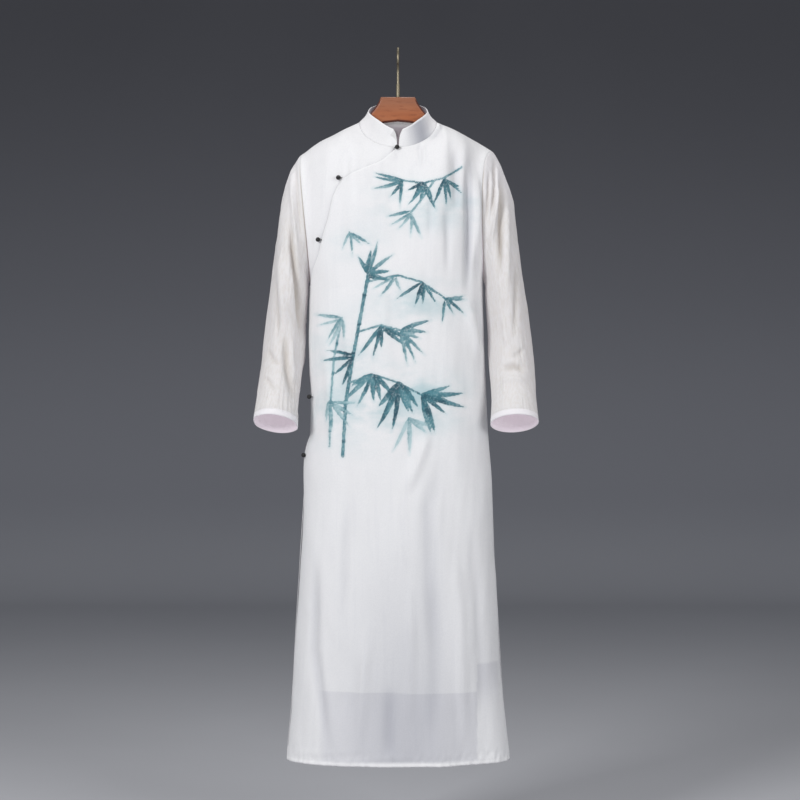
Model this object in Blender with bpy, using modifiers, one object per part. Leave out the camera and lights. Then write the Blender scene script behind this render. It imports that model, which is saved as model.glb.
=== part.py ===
"""A hanfu robe with a stand collar on a wooden hanger, filled out as if worn, with no wearer.

Metres, +Z up. The front faces -Y and the wearer's left is +X. The origin is the inside top of
the hanger's hook. The cloth is built as walls: a function gives the outer surface of the body,
of each sleeve and of the collar, and each piece is a stretch of that surface with a thickness.

A place on the body is (across, up). across is -1 at the wearer's right side seam, 0 at the
centre and 1 at the left one. up is -1 at the hem, 0 at the armpit and 1 at the shoulder seam and
the neckline. On the shoulders across -1 and 1 run along the armholes.
"""

import math
from collections import namedtuple

import bmesh
import bpy
import numpy as np
from mathutils import Vector

# Heights
HEM = -1.519
ARMPIT = -0.4945
SLIT_TOP = -0.870
WAIST_BUTTON = -0.745
LINING_HEM = -1.365
LINING_TOP = -0.940
UNDER_PANEL_END = -0.880

# Cloth
WALL = 0.0015
COLLAR_WALL = 0.0020
LINING_WALL = 0.0010
SEAM = 0.0003
LAP_GAP = 0.0026
LINING_GAP = 0.0006
LINING_SIDE = 0.97
HEM_BAND = 0.013
HEM_BAND_RISE = 0.0006

# Shoulders and neck
SHOULDER_X = {-1: -0.2100, 1: 0.2040}
SHOULDER_Z = {-1: -0.2280, 1: -0.2190}
ARMHOLE_INWARD = {-1: -0.010, 1: 0.125}
ARMHOLE_DEPTH = 0.50
NECK_ACROSS = 0.36
NECK_HALF_WIDTH = 0.083
NECK_FRONT = 0.075
NECK_BACK = 0.068
RIM_HALF_WIDTH = 0.064
RIM_FRONT = 0.064
RIM_BACK = 0.052
SECTION_POWER = 2.3

# Side slits: how far the front's edge lies inside the back's, on the wearer's right and left,
# how far the two part, and the height and share of the half width over which they do so
SLIT_TUCK = {-1: 0.0065, 1: 0.0020}
SLIT_PART = 0.0060
SLIT_OPENS = 0.12
SLIT_FADE = 10

# Collar: the slit's half width at its foot, how far it widens upwards, how far its corners are
# rounded off, the hollow of its sides, and its distance from the neckline
COLLAR_SLIT = 0.0013
COLLAR_SPREAD = 0.0022
COLLAR_CORNER = 0.0065
COLLAR_CORNER_POWER = 6
COLLAR_BOW = 0.0025
COLLAR_SEAM = 0.0005

# The pull, in metres, with which a column of the body leaves the armpit's section and arrives at
# the shoulder seam or the neckline, and the shares of the half width from which each one grows
SIDE_LEAN = 0.25
LEAN_START = 0.45
INWARD_START = 0.5
SPREAD_END = 0.8
SIDE_DROP = 0.45
DROP_START = 0.8
SHOULDER_PULL = 0.37
SHOULDER_SPREAD = 0.16
SHOULDER_LIFT = 0.50
SHOULDER_BOW = 0.0035
NECK_PULL = 0.10
NECK_PULL_SIDE = 0.27
NECK_RISE = 0.25
NECK_RISE_SIDE = 0.17

# How far the inner front reaches under the outer one, as a share of the half front
UNDER_REACH = 0.24
UNDER_SIDE = -0.74
UNDER_TAPER = 0.15
EDGE_APART = 0.005

# How many times a search for the outer front's edge halves its stretch
HALVINGS = 40

# The outer front rises over the inner one: where it starts to sink again past the inner one's
# edge, where it lies on the body again, and the height over which it does so at the bottom
LAP_START = 0.12
LAP_END = 0.42
LAP_FADE = 0.07

# Ball buttons: where each centre is seen, and its lift off the body to clear what it rests on
BUTTON_RADIUS = 0.0050
SEARCH_ACROSS = 201
SEARCH_UP = 801
Button = namedtuple("Button", "name x z lift")
BUTTONS = (
    Button("button_collar", -0.0020, -0.2200, 0.0020),
    Button("button_chest", -0.1245, -0.2863, 0.0016),
    Button("button_underarm", -0.1689, -0.4143, -0.0002),
    Button("button_waist", -0.1890, WAIST_BUTTON, 0.0041),
    Button("button_slit", -0.2015, SLIT_TOP, 0.0038),
)

# Hanger and hook. Each arm rises a little to carry its own shoulder of the robe.
HANGER_THICK = 0.013
HANGER_EDGE = 0.005
HOOK_WIRE = 0.0028
HOOK_INNER = 0.0195
HOOK_END_ANGLE = 118.0
HOOK_LEAN = 60.0
BEND_STEPS = 5
CROOK_STEPS = 24
HANGER_TOP = -0.1015
ARM_START = 0.100
HANGER_SEAT = {-1: 0.0010, 1: 0.0020}
FERRULE_TOP = -0.0735
FERRULE_RADIUS = 0.0040
FERRULE_EDGE = 0.0006

Station = namedtuple("Station", "height half_width front_depth back_depth shift")
BODY = (
    Station(-1.5190, 0.2397, 0.1180, 0.1160, -0.0010),
    Station(-1.3870, 0.2273, 0.1155, 0.1130, -0.0015),
    Station(-1.2210, 0.2177, 0.1135, 0.1100, -0.0020),
    Station(-1.0965, 0.2100, 0.1120, 0.1080, -0.0020),
    Station(-0.9245, 0.2010, 0.1110, 0.1060, 0.0000),
    Station(-0.8686, 0.1960, 0.1105, 0.1055, 0.0000),
    Station(-0.8170, 0.1905, 0.1100, 0.1045, 0.0020),
    Station(-0.6990, 0.1880, 0.1095, 0.1030, 0.0000),
    Station(-0.5375, 0.1850, 0.1115, 0.1050, -0.0025),
    Station(-0.4945, 0.1855, 0.1120, 0.1060, -0.0030),
)

# The neckline and the collar's rim, by the angle round the neck from the centre front
NeckRow = namedtuple("NeckRow", "angle seam rim")
NECK = (
    NeckRow(0, -0.2180, -0.1830),
    NeckRow(10, -0.2172, -0.1785),
    NeckRow(20, -0.2145, -0.1730),
    NeckRow(45, -0.1995, -0.1555),
    NeckRow(70, -0.1760, -0.1410),
    NeckRow(90, -0.1555, -0.1320),
    NeckRow(120, -0.1480, -0.1180),
    NeckRow(150, -0.1455, -0.1100),
    NeckRow(180, -0.1445, -0.1080),
)

# The outer front's edge, from the centre front to the side seam
EdgePoint = namedtuple("EdgePoint", "x z")
FLAP_EDGE = (
    EdgePoint(0.0000, -0.2180),
    EdgePoint(-0.0180, -0.2350),
    EdgePoint(-0.0351, -0.2502),
    EdgePoint(-0.0735, -0.2668),
    EdgePoint(-0.1029, -0.2808),
    EdgePoint(-0.1173, -0.2896),
    EdgePoint(-0.1272, -0.3047),
    EdgePoint(-0.1362, -0.3246),
    EdgePoint(-0.1409, -0.3437),
    EdgePoint(-0.1481, -0.3742),
    EdgePoint(-0.1598, -0.4085),
    EdgePoint(-0.1678, -0.4463),
    EdgePoint(-0.1800, -0.4750),
    EdgePoint(-0.1845, -0.4945),
    EdgePoint(-0.1890, -0.5200),
)
FLAP_EDGE_END = -0.5200

# Rings of each sleeve below its cap. swing is how far the forearm leans forward, in degrees, and
# tilt how far the ring dips towards the body.
Ring = namedtuple("Ring", "z x y half_width half_depth swing tilt")
SLEEVE = {
    -1: (
        Ring(-0.5350, -0.2350, 0.000, 0.0400, 0.0740, 0, 0),
        Ring(-0.5850, -0.2400, -0.001, 0.0425, 0.0680, 3, 0),
        Ring(-0.6450, -0.2440, -0.010, 0.0460, 0.0610, 12, 1),
        Ring(-0.7000, -0.2500, -0.028, 0.0445, 0.0560, 21, 3),
        Ring(-0.7500, -0.2545, -0.052, 0.0440, 0.0510, 25, 5),
        Ring(-0.8020, -0.2580, -0.080, 0.0462, 0.0470, 25, 7),
    ),
    1: (
        Ring(-0.5350, 0.2315, 0.000, 0.0420, 0.0740, 0, 0),
        Ring(-0.5850, 0.2365, -0.001, 0.0440, 0.0680, 3, 0),
        Ring(-0.6450, 0.2410, -0.010, 0.0465, 0.0610, 12, 0),
        Ring(-0.7000, 0.2440, -0.028, 0.0470, 0.0560, 21, 1),
        Ring(-0.7500, 0.2455, -0.052, 0.0480, 0.0510, 25, 1),
        Ring(-0.8020, 0.2457, -0.080, 0.0502, 0.0470, 25, 2),
    ),
}
# The cap's share of a sleeve's rows, the direction in which it leaves the armhole, its pull there,
# its slant where it meets the first ring, its distance from the body, and the rest's length
CAP_SHARE = 0.5
CAP_OUTWARD = 0.43
CAP_DOWN = 0.62
CAP_PULL = 0.9
CAP_SLANT = 0.14
CAP_SEAM = 0.00072
ARM_LENGTH = 0.27
HEM_STEP = 1.25
CAP_RINGS = 10
ARM_RINGS = 7
CAP_CALM = 0.12

# The largest folds. depth is negative in a trough, and the path is seen from the front or back.
# They fade in over the first share of the path, and out over the last.
FADE_IN = 0.35
FADE_OUT = 0.65
CALM_EDGE = 0.93
Fold = namedtuple("Fold", "depth width path")
FRONT_FOLDS = (
    Fold(-0.0060, 0.013, ((0.150, -0.240), (0.149, -0.380), (0.147, -0.550))),
    Fold(0.0040, 0.011, ((0.166, -0.280), (0.168, -0.360), (0.165, -0.460))),
    Fold(-0.0035, 0.013, ((0.122, -0.215), (0.122, -0.290), (0.124, -0.365))),
    Fold(0.0045, 0.014, ((0.142, -0.530), (0.160, -0.600), (0.176, -0.680))),
    Fold(0.0045, 0.018, ((0.066, -0.810), (0.040, -0.885), (0.014, -0.955))),
    Fold(-0.0045, 0.018, ((0.080, -0.890), (0.030, -0.985), (0.004, -1.060))),
    Fold(-0.0045, 0.018, ((0.078, -1.150), (0.077, -1.270), (0.075, -1.400))),
    Fold(-0.0050, 0.016, ((-0.172, -1.090), (-0.176, -1.300), (-0.150, -1.420), (-0.132, -1.519))),
    Fold(0.0040, 0.020, ((-0.060, -1.200), (-0.075, -1.360), (-0.085, -1.519))),
)
BACK_FOLDS = (
    Fold(-0.0060, 0.015, ((-0.140, -0.250), (-0.143, -0.400), (-0.140, -0.560))),
    Fold(-0.0050, 0.014, ((0.135, -0.260), (0.140, -0.380), (0.138, -0.520))),
    Fold(0.0045, 0.020, ((-0.050, -0.800), (-0.030, -0.930), (-0.012, -1.040))),
    Fold(-0.0045, 0.020, ((0.070, -0.900), (0.078, -1.150), (0.082, -1.400))),
    Fold(-0.0045, 0.018, ((-0.120, -1.080), (-0.130, -1.300), (-0.140, -1.519))),
)
SLEEVE_FOLDS = {
    -1: (
        Fold(-0.0060, 0.012, ((-0.230, -0.390), (-0.222, -0.480), (-0.210, -0.600))),
        Fold(-0.0045, 0.011, ((-0.242, -0.600), (-0.232, -0.690), (-0.216, -0.760))),
        Fold(0.0035, 0.013, ((-0.250, -0.420), (-0.246, -0.520), (-0.240, -0.600))),
    ),
    1: (
        Fold(-0.0060, 0.012, ((0.223, -0.300), (0.219, -0.400), (0.212, -0.505))),
        Fold(0.0040, 0.012, ((0.238, -0.330), (0.236, -0.440), (0.232, -0.560))),
        Fold(-0.0035, 0.012, ((0.212, -0.685), (0.245, -0.680), (0.275, -0.690))),
    ),
}

# Half of the hanger's outline, from the top's centre round the arm's tip to the bottom's centre
HANGER_HALF = (
    (0.0000, -0.1015),
    (0.0365, -0.1015),
    (0.0430, -0.1150),
    (0.0520, -0.1280),
    (0.0595, -0.1370),
    (0.0665, -0.1460),
    (0.0740, -0.1565),
    (0.0840, -0.1630),
    (0.1000, -0.1674),
    (0.1400, -0.1882),
    (0.1760, -0.2098),
    (0.1840, -0.2180),
    (0.1835, -0.2270),
    (0.1760, -0.2320),
    (0.1350, -0.2130),
    (0.0950, -0.1920),
    (0.0600, -0.1700),
    (0.0300, -0.1570),
    (0.0000, -0.1540),
)

COLOURS = {
    "cloth": (0.84, 0.85, 0.87, 1.0, 0.75),
    "crepe": (0.78, 0.76, 0.73, 1.0, 0.85),
    "lining": (0.80, 0.81, 0.84, 1.0, 0.80),
    "button": (0.012, 0.011, 0.012, 1.0, 0.30),
    "wood": (0.42, 0.17, 0.07, 1.0, 0.35),
    "metal": (0.55, 0.50, 0.40, 1.0, 0.30),
}


def smooth_table(rows, place, column, at):
    """A table's column as a smooth curve through its rows, with no overshoot between them."""
    places = np.array([getattr(row, place) for row in rows], float)
    values = np.array([getattr(row, column) for row in rows], float)
    steps = np.diff(places)
    slopes = np.diff(values) / steps
    bends = np.zeros(len(places))
    for i in range(1, len(places) - 1):
        if slopes[i - 1] * slopes[i] > 0:
            bends[i] = 2 * slopes[i - 1] * slopes[i] / (slopes[i - 1] + slopes[i])
    bends[0], bends[-1] = slopes[0], slopes[-1]
    at = np.clip(at, places[0], places[-1])
    i = np.clip(np.searchsorted(places, at, side="right") - 1, 0, len(steps) - 1)
    u = (at - places[i]) / steps[i]
    start = (1 + 2 * u) * (1 - u) ** 2 * values[i] + u * (1 - u) ** 2 * steps[i] * bends[i]
    end = u**2 * (3 - 2 * u) * values[i + 1] - u**2 * (1 - u) * steps[i] * bends[i + 1]
    return start + end


def ramp(low, high, value):
    """0 below low, 1 above high, and smooth between them."""
    u = np.clip((value - low) / (high - low), 0.0, 1.0)
    return u * u * (3 - 2 * u)


def hermite(start, end, leave, arrive, u):
    """A cubic from start to end that leaves and arrives along the given directions."""
    u = u[..., None]
    return (
        (1 + 2 * u) * (1 - u) ** 2 * start
        + u * (1 - u) ** 2 * leave
        + u**2 * (3 - 2 * u) * end
        - u**2 * (1 - u) * arrive
    )


def stack(x, y, z):
    x, y, z = np.broadcast_arrays(x, y, z)
    return np.stack([x, y, z], axis=-1).astype(float)


def unit(vectors):
    return vectors / np.maximum(np.linalg.norm(vectors, axis=-1, keepdims=True), 1e-12)


def neck_point(angle):
    """The neckline, by the angle in degrees from the centre front."""
    turn = np.radians(angle)
    depth = np.where(angle < 90, NECK_FRONT, NECK_BACK)
    height = smooth_table(NECK, "angle", "seam", angle)
    return stack(NECK_HALF_WIDTH * np.sin(turn), -depth * np.cos(turn), height)


def rim_point(angle):
    """The collar's top edge, by the same angle."""
    turn = np.radians(angle)
    depth = np.where(angle < 90, RIM_FRONT, RIM_BACK)
    height = smooth_table(NECK, "angle", "rim", angle)
    return stack(RIM_HALF_WIDTH * np.sin(turn), -depth * np.cos(turn), height)


def side_of(across):
    return np.where(across < 0, -1, 1)


def section_point(across, height, face):
    """The body's rounded section at one height. face is -1 on the front and 1 on the back."""
    turn = across * math.pi / 2
    half_width = smooth_table(BODY, "height", "half_width", height)
    front = smooth_table(BODY, "height", "front_depth", height)
    back = smooth_table(BODY, "height", "back_depth", height)
    shift = smooth_table(BODY, "height", "shift", height)
    depth = np.where(face < 0, front, back)
    side, ahead = np.abs(np.sin(turn)), np.abs(np.cos(turn))
    swell = (side**SECTION_POWER + ahead**SECTION_POWER) ** (-1 / SECTION_POWER)
    opened = ramp(SLIT_TOP, SLIT_TOP - SLIT_OPENS, height) * np.abs(across) ** SLIT_FADE
    tuck = np.where(across < 0, SLIT_TUCK[-1], SLIT_TUCK[1]) * opened * (face < 0)
    x = shift + (half_width - tuck) * swell * np.sin(turn)
    y = face * (depth * swell * ahead + SLIT_PART * opened)
    return stack(x, y, height)


def yoke_point(across, up, face):
    """The body above the armpit: each column rises from the armpit's section to the top."""
    side = side_of(across)
    far = np.abs(across)
    start = section_point(across, np.full_like(up, ARMPIT), face)
    start[..., 1] = np.where(far > 0.9999, 0.0, start[..., 1])
    share = np.clip((far - NECK_ACROSS) / (1 - NECK_ACROSS), 0, 1)
    tip_x = np.where(side < 0, SHOULDER_X[-1], SHOULDER_X[1])
    tip_z = np.where(side < 0, SHOULDER_Z[-1], SHOULDER_Z[1])
    neck_z = smooth_table(NECK, "angle", "seam", 90.0)
    shoulder = stack(
        side * NECK_HALF_WIDTH + (tip_x - side * NECK_HALF_WIDTH) * share,
        0.0,
        neck_z + (tip_z - neck_z) * share + SHOULDER_BOW * np.sin(math.pi * share),
    )
    angle = 90 * np.clip(far / NECK_ACROSS, 0, 1)
    angle = np.where(face < 0, angle, 180 - angle)
    neck = neck_point(angle)
    neck[..., 0] *= side
    on_neck = far < NECK_ACROSS
    end = np.where(on_neck[..., None], neck, shoulder)
    rise = end[..., 2] - start[..., 2]
    leave_back = -SIDE_LEAN * ramp(LEAN_START, 1.0, far)
    pull = SHOULDER_PULL + (ARMHOLE_DEPTH - SHOULDER_PULL) * share**2
    inward = np.where(side < 0, ARMHOLE_INWARD[-1], ARMHOLE_INWARD[1])
    inward = inward * ramp(INWARD_START, 1.0, far)
    spread = SHOULDER_SPREAD * (1 - ramp(0.0, SPREAD_END, share))
    arrive_shoulder = stack(
        side * (inward - spread),
        -face * (pull + leave_back),
        SHOULDER_LIFT * spread,
    )
    to_side = ramp(0.0, 1.0, far / NECK_ACROSS)
    arrive_neck = stack(
        -side * SHOULDER_SPREAD * to_side,
        -face * (NECK_PULL + NECK_PULL_SIDE * to_side),
        NECK_RISE - NECK_RISE_SIDE * to_side,
    )
    arrive = np.where(on_neck[..., None], arrive_neck, arrive_shoulder)
    leave = stack(0.0, -face * leave_back, rise * (1 - SIDE_DROP * ramp(DROP_START, 1.0, far)))
    return hermite(start, end, leave, arrive, up)


def plain_body(across, up, face):
    """The outer surface of the body with no folds."""
    across, up, face = (np.asarray(v, float) for v in np.broadcast_arrays(across, up, face))
    height = HEM + (1 + np.minimum(up, 0)) * (ARMPIT - HEM)
    below = section_point(across, height, face)
    above = yoke_point(across, np.maximum(up, 0), face)
    points = np.where((up < 0)[..., None], below, above)
    points[..., 1] += face * SEAM / 2
    return points


def up_at(height):
    """The place up the body of a height at or below the armpit."""
    return (height - HEM) / (ARMPIT - HEM) - 1


def body_normal(across, up, face):
    """The outward direction of the body's surface, level at the seams that join its halves."""
    across, up, face = (np.asarray(v, float) for v in np.broadcast_arrays(across, up, face))
    step = 2e-3
    left = plain_body(np.clip(across - step, -1, 1), up, face)
    right = plain_body(np.clip(across + step, -1, 1), up, face)
    low = plain_body(across, np.clip(up - step, -1, 1), face)
    high = plain_body(across, np.clip(up + step, -1, 1), face)
    normal = unit(np.cross(right - left, high - low)) * -face[..., None]
    far = np.abs(across)
    seam = ((far > 0.9999) & (up <= 0)) | ((up > 0.9999) & (far >= NECK_ACROSS - 1e-6))
    normal[..., 1] = np.where(seam, 0.0, normal[..., 1])
    return unit(normal)


def relief(points, folds):
    """How far the folds raise or sink each point, from its place seen from the front."""
    total = np.zeros(points.shape[:-1])
    flat = points[..., [0, 2]]
    for fold in folds:
        path = np.array(fold.path)
        lengths = np.linalg.norm(np.diff(path, axis=0), axis=1)
        whole = lengths.sum()
        nearest = np.full(total.shape, 1e3)
        along = np.zeros(total.shape)
        before = 0.0
        for start, end, length in zip(path[:-1], path[1:], lengths):
            way = (end - start) / length
            reach = np.clip((flat - start) @ way, 0, length)
            gap = np.linalg.norm(flat - start - reach[..., None] * way, axis=-1)
            closer = gap < nearest
            nearest = np.where(closer, gap, nearest)
            along = np.where(closer, (before + reach) / whole, along)
            before += length
        fade = ramp(0.0, FADE_IN, along) * ramp(1.0, FADE_OUT, along)
        total += fold.depth * fade * np.exp(-((nearest / fold.width) ** 2))
    return total


def body_point(across, up, face):
    """The outer surface of the body with its largest folds."""
    across, up, face = (np.asarray(v, float) for v in np.broadcast_arrays(across, up, face))
    points = plain_body(across, up, face)
    folds = np.where(face < 0, relief(points, FRONT_FOLDS), relief(points, BACK_FOLDS))
    calm = ramp(1.0, CALM_EDGE, np.abs(across)) * ramp(1.0, CALM_EDGE, up)
    return points + body_normal(across, up, face) * (folds * calm)[..., None]


def armhole(turn):
    """(place up, face) round an armhole. turn is 0 at the armpit and 0.5 at the shoulder."""
    up = 1 - np.abs(1 - 2 * turn)
    face = np.where(turn <= 0.5, -1.0, 1.0)
    return up, face


def armhole_point(turn, side):
    up, face = armhole(turn)
    points = plain_body(side, up, face)
    points[..., 1] = np.where((up < 1e-6) | (up > 1 - 1e-6), 0.0, points[..., 1])
    return points


def sleeve_leave(turn, side):
    """The direction in which a sleeve leaves its armhole, of unit length."""
    down = stack(side * CAP_OUTWARD, 0.0, -CAP_DOWN)
    return unit(np.broadcast_to(down, (*np.shape(turn), 3)))


def armhole_along(turn, side):
    step = 1e-3
    return unit(armhole_point((turn + step) % 1, side) - armhole_point((turn - step) % 1, side))


def armhole_inward(turn, side):
    """The direction across the wall that body and sleeve share at the armhole seam."""
    up, face = armhole(turn)
    of_body = body_normal(np.full_like(turn, side), up, face)
    of_sleeve = unit(np.cross(sleeve_leave(turn, side), armhole_along(turn, side))) * side
    shared = unit(of_body + of_sleeve)
    ends = (up < 1e-6) | (up > 1 - 1e-6)
    shared[..., 1] = np.where(ends, 0.0, shared[..., 1])
    shared = unit(shared)
    slant = np.clip(np.abs((shared * of_body).sum(axis=-1, keepdims=True)), 0.5, 1.0)
    return -shared / slant


def collar_up(angle):
    return unit(rim_point(angle) - neck_point(angle))


def neck_inward(angle, side):
    """The direction across the wall that body and collar share at the neckline."""
    face = np.where(angle < 90, -1.0, 1.0)
    far = NECK_ACROSS * np.where(angle < 90, angle, 180 - angle) / 90
    of_body = body_normal(side * far, np.ones_like(far), face)
    step = 0.5
    low, high = np.clip(angle - step, 0, 180), np.clip(angle + step, 0, 180)
    mirror = stack(side, 1.0, 1.0)
    along = unit(neck_point(high) - neck_point(low)) * mirror
    of_collar = unit(np.cross(along, collar_up(angle) * mirror)) * np.asarray(side)[..., None]
    shared = unit(of_body + of_collar)
    side_on = np.abs(angle - 90) < 1e-6
    shared[..., 1] = np.where(side_on, 0.0, shared[..., 1])
    return -unit(shared)


def grid_normal(grid, ring):
    """The direction square to a grid of points, rows by columns, by its neighbours."""
    down = np.gradient(grid, axis=0)
    if ring:
        round_it = np.roll(grid, -1, axis=1) - np.roll(grid, 1, axis=1)
    else:
        round_it = np.gradient(grid, axis=1)
    return unit(np.cross(down, round_it))


def material(kind):
    """A part's plain material, made once for each kind."""
    found = bpy.data.materials.get(kind)
    if found:
        return found
    red, green, blue, alpha, rough = COLOURS[kind]
    made = bpy.data.materials.new(kind)
    made.use_nodes = True
    shader = made.node_tree.nodes["Principled BSDF"]
    shader.inputs["Base Color"].default_value = (red, green, blue, alpha)
    shader.inputs["Roughness"].default_value = rough
    shader.inputs["Metallic"].default_value = 1.0 if kind == "metal" else 0.0
    return made


def add(obj, kind):
    parts.objects.link(obj)
    obj.data.materials.append(material(kind))
    return obj


def wall(name, outer, inner, kind, ring=False):
    """A closed wall between two grids of points. A ring's columns close on themselves."""
    rows, columns = outer.shape[:2]
    shape = bmesh.new()
    out = [[shape.verts.new(point) for point in row] for row in outer]
    back = [[shape.verts.new(point) for point in row] for row in inner]
    last = columns if ring else columns - 1
    for i in range(rows - 1):
        for j in range(last):
            k = (j + 1) % columns
            shape.faces.new((out[i][j], out[i][k], out[i + 1][k], out[i + 1][j]))
            shape.faces.new((back[i][j], back[i + 1][j], back[i + 1][k], back[i][k]))
    for j in range(last):
        k = (j + 1) % columns
        shape.faces.new((out[0][k], out[0][j], back[0][j], back[0][k]))
        shape.faces.new((out[-1][j], out[-1][k], back[-1][k], back[-1][j]))
    if not ring:
        for i in range(rows - 1):
            shape.faces.new((out[i][0], out[i + 1][0], back[i + 1][0], back[i][0]))
            shape.faces.new((out[i + 1][-1], out[i][-1], back[i][-1], back[i + 1][-1]))
    bmesh.ops.recalc_face_normals(shape, faces=shape.faces)
    mesh = bpy.data.meshes.new(name)
    shape.to_mesh(mesh)
    shape.free()
    mesh.shade_smooth()
    mesh.set_sharp_from_angle(angle=math.radians(50))
    return add(bpy.data.objects.new(name, mesh), kind)


def panel(name, across, up, face, kind, lift=0.0, thick=WALL):
    """A stretch of the body as a wall. across and up are grids, and lift moves it outwards."""
    across, up = np.broadcast_arrays(across, up)
    face_grid = np.full(across.shape, float(face))
    inward = -body_normal(across, up, face_grid)
    for side in (-1, 1):
        edge = (across * side > 0.9999) & (up >= 0)
        turn = up / 2 if face < 0 else 1 - up / 2
        inward = np.where(edge[..., None], armhole_inward(turn % 1, side), inward)
        on_neck = (up > 0.9999) & (across * side < NECK_ACROSS) & (across * side >= 0)
        angle = 90 * np.clip(np.abs(across) / NECK_ACROSS, 0, 1)
        angle = angle if face < 0 else 180 - angle
        inward = np.where(on_neck[..., None], neck_inward(angle, side), inward)
    outer = body_point(across, up, face_grid) - inward * np.asarray(lift)[..., None]
    return wall(name, outer, outer + inward * thick, kind)


def columns_between(stops):
    """Places across the body, from (end, count) stretches that start at -1."""
    places, start = [-1.0], -1.0
    for end, count in stops:
        places.extend(np.linspace(start, end, count + 1)[1:])
        start = end
    return np.array(places)


def height_at(up):
    return HEM + (1 + min(up, 0)) * (ARMPIT - HEM)


def flap_edge_across(up):
    """Where the outer front's edge crosses the row at this place up, by halving."""
    if up < 0 and height_at(up) <= FLAP_EDGE_END + 1e-9:
        return -1.0
    if up >= 1:
        return 0.0
    edge = np.array(FLAP_EDGE)[::-1]
    low, high = -1.0, 0.0
    for _ in range(HALVINGS):
        middle = (low + high) / 2
        x, _, z = plain_body(middle, up, -1.0)
        if x < np.interp(z, edge[:, 1], edge[:, 0]):
            low = middle
        else:
            high = middle
    return high


SKIRT_HEIGHTS = np.concatenate([
    np.linspace(HEM, LINING_HEM, 3),
    np.linspace(LINING_HEM, LINING_TOP, 6)[1:],
    [UNDER_PANEL_END, -0.820, -0.740, -0.650, -0.575, FLAP_EDGE_END, -0.507, ARMPIT],
])
SKIRT_ROWS = up_at(SKIRT_HEIGHTS)
YOKE_ROWS = np.array([0.10, 0.20, 0.30, 0.40, 0.50, 0.60, 0.70, 0.80, 0.88, 0.95, 1.0])
BODY_ROWS = np.concatenate([SKIRT_ROWS, YOKE_ROWS])
LAST_FREE_ROW = YOKE_ROWS[-2]
NECK_COLUMNS = np.linspace(0, NECK_ACROSS, 6)
FRONT_COLUMNS = columns_between(((-0.82, 3), (-0.1, 7), (NECK_ACROSS, 5), (0.86, 9), (1.0, 3)))
BACK_COLUMNS = np.concatenate([
    columns_between(((-0.85, 3), (-NECK_ACROSS, 4))),
    -NECK_COLUMNS[-2:0:-1],
    NECK_COLUMNS,
    -columns_between(((-0.85, 3), (-NECK_ACROSS, 4)))[-2::-1],
])
UNDER_COLUMNS = np.concatenate([columns_between(((-NECK_ACROSS, 5),)), -NECK_COLUMNS[-2::-1]])


def front_columns(up):
    """The outer front's places across at one row. Those left of the neck crowd up to its edge."""
    edge = flap_edge_across(up)
    crowded = edge + (FRONT_COLUMNS + 1) / (NECK_ACROSS + 1) * (NECK_ACROSS - edge)
    return np.where(FRONT_COLUMNS < NECK_ACROSS, crowded, FRONT_COLUMNS)


def under_edge_across(up):
    """Where the inner front ends under the outer one."""
    if height_at(up) < FLAP_EDGE_END and up < 0:
        return UNDER_SIDE
    edge = flap_edge_across(up)
    reach = UNDER_REACH * min(1.0, max(0.0, LAST_FREE_ROW - up) / UNDER_TAPER)
    return edge + reach


def make_front():
    """The outer front: from its lapped edge to the wearer's left side seam and armhole."""
    grid = np.array([front_columns(up) for up in BODY_ROWS])
    lift = np.zeros_like(grid)
    lowest = up_at(UNDER_PANEL_END - LAP_FADE)
    for i, up in enumerate(BODY_ROWS):
        near = 1 - ramp(LAP_START, LAP_END, grid[i] - under_edge_across(up))
        lapped = ramp(lowest, up_at(UNDER_PANEL_END), up) * (up < 1)
        lift[i] = (WALL + LAP_GAP) * near * lapped
    return panel("front_panel", grid, BODY_ROWS[:, None], -1, "cloth", lift)


def make_under_panel():
    """The inner front: the wearer's right shoulder, on under the outer front to the waist."""
    rows = BODY_ROWS[BODY_ROWS >= up_at(UNDER_PANEL_END) - 1e-9]
    ends = np.array([under_edge_across(up) for up in rows])
    grid = -1 + (UNDER_COLUMNS[None, :] + 1) * (ends[:, None] + 1)
    grid[rows >= LAST_FREE_ROW, -1] -= EDGE_APART
    return panel("under_panel", grid, rows[:, None], -1, "cloth")


def make_back():
    return panel("back_panel", BACK_COLUMNS[None, :], BODY_ROWS[:, None], 1, "cloth")


def make_lining(name, face, columns):
    """The lining's lower stretch, just inside the outer cloth, down to its own hem."""
    across = columns[np.abs(columns) < LINING_SIDE]
    inside = (SKIRT_HEIGHTS >= LINING_HEM - 1e-9) & (SKIRT_HEIGHTS <= LINING_TOP + 1e-9)
    up = SKIRT_ROWS[inside]
    lift = np.full((len(up), len(across)), -(WALL + LINING_GAP))
    return panel(name, across[None, :], up[:, None], face, "lining", lift, LINING_WALL)


def ring_points(rows, side, height, turn):
    """One ring of the sleeve below its cap."""
    values = {key: smooth_table(rows, "z", key, height) for key in Ring._fields[1:]}
    lean = np.radians(values["swing"])
    dip = np.radians(values["tilt"])
    angle = 2 * math.pi * turn
    outward = side * -np.cos(angle) * values["half_width"]
    ahead = np.sin(angle) * values["half_depth"]
    x = values["x"] + outward * np.cos(dip)
    y = values["y"] - ahead * np.cos(lean)
    z = height + ahead * np.sin(lean) + side * outward * np.sin(dip)
    return stack(x, y, z)


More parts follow.
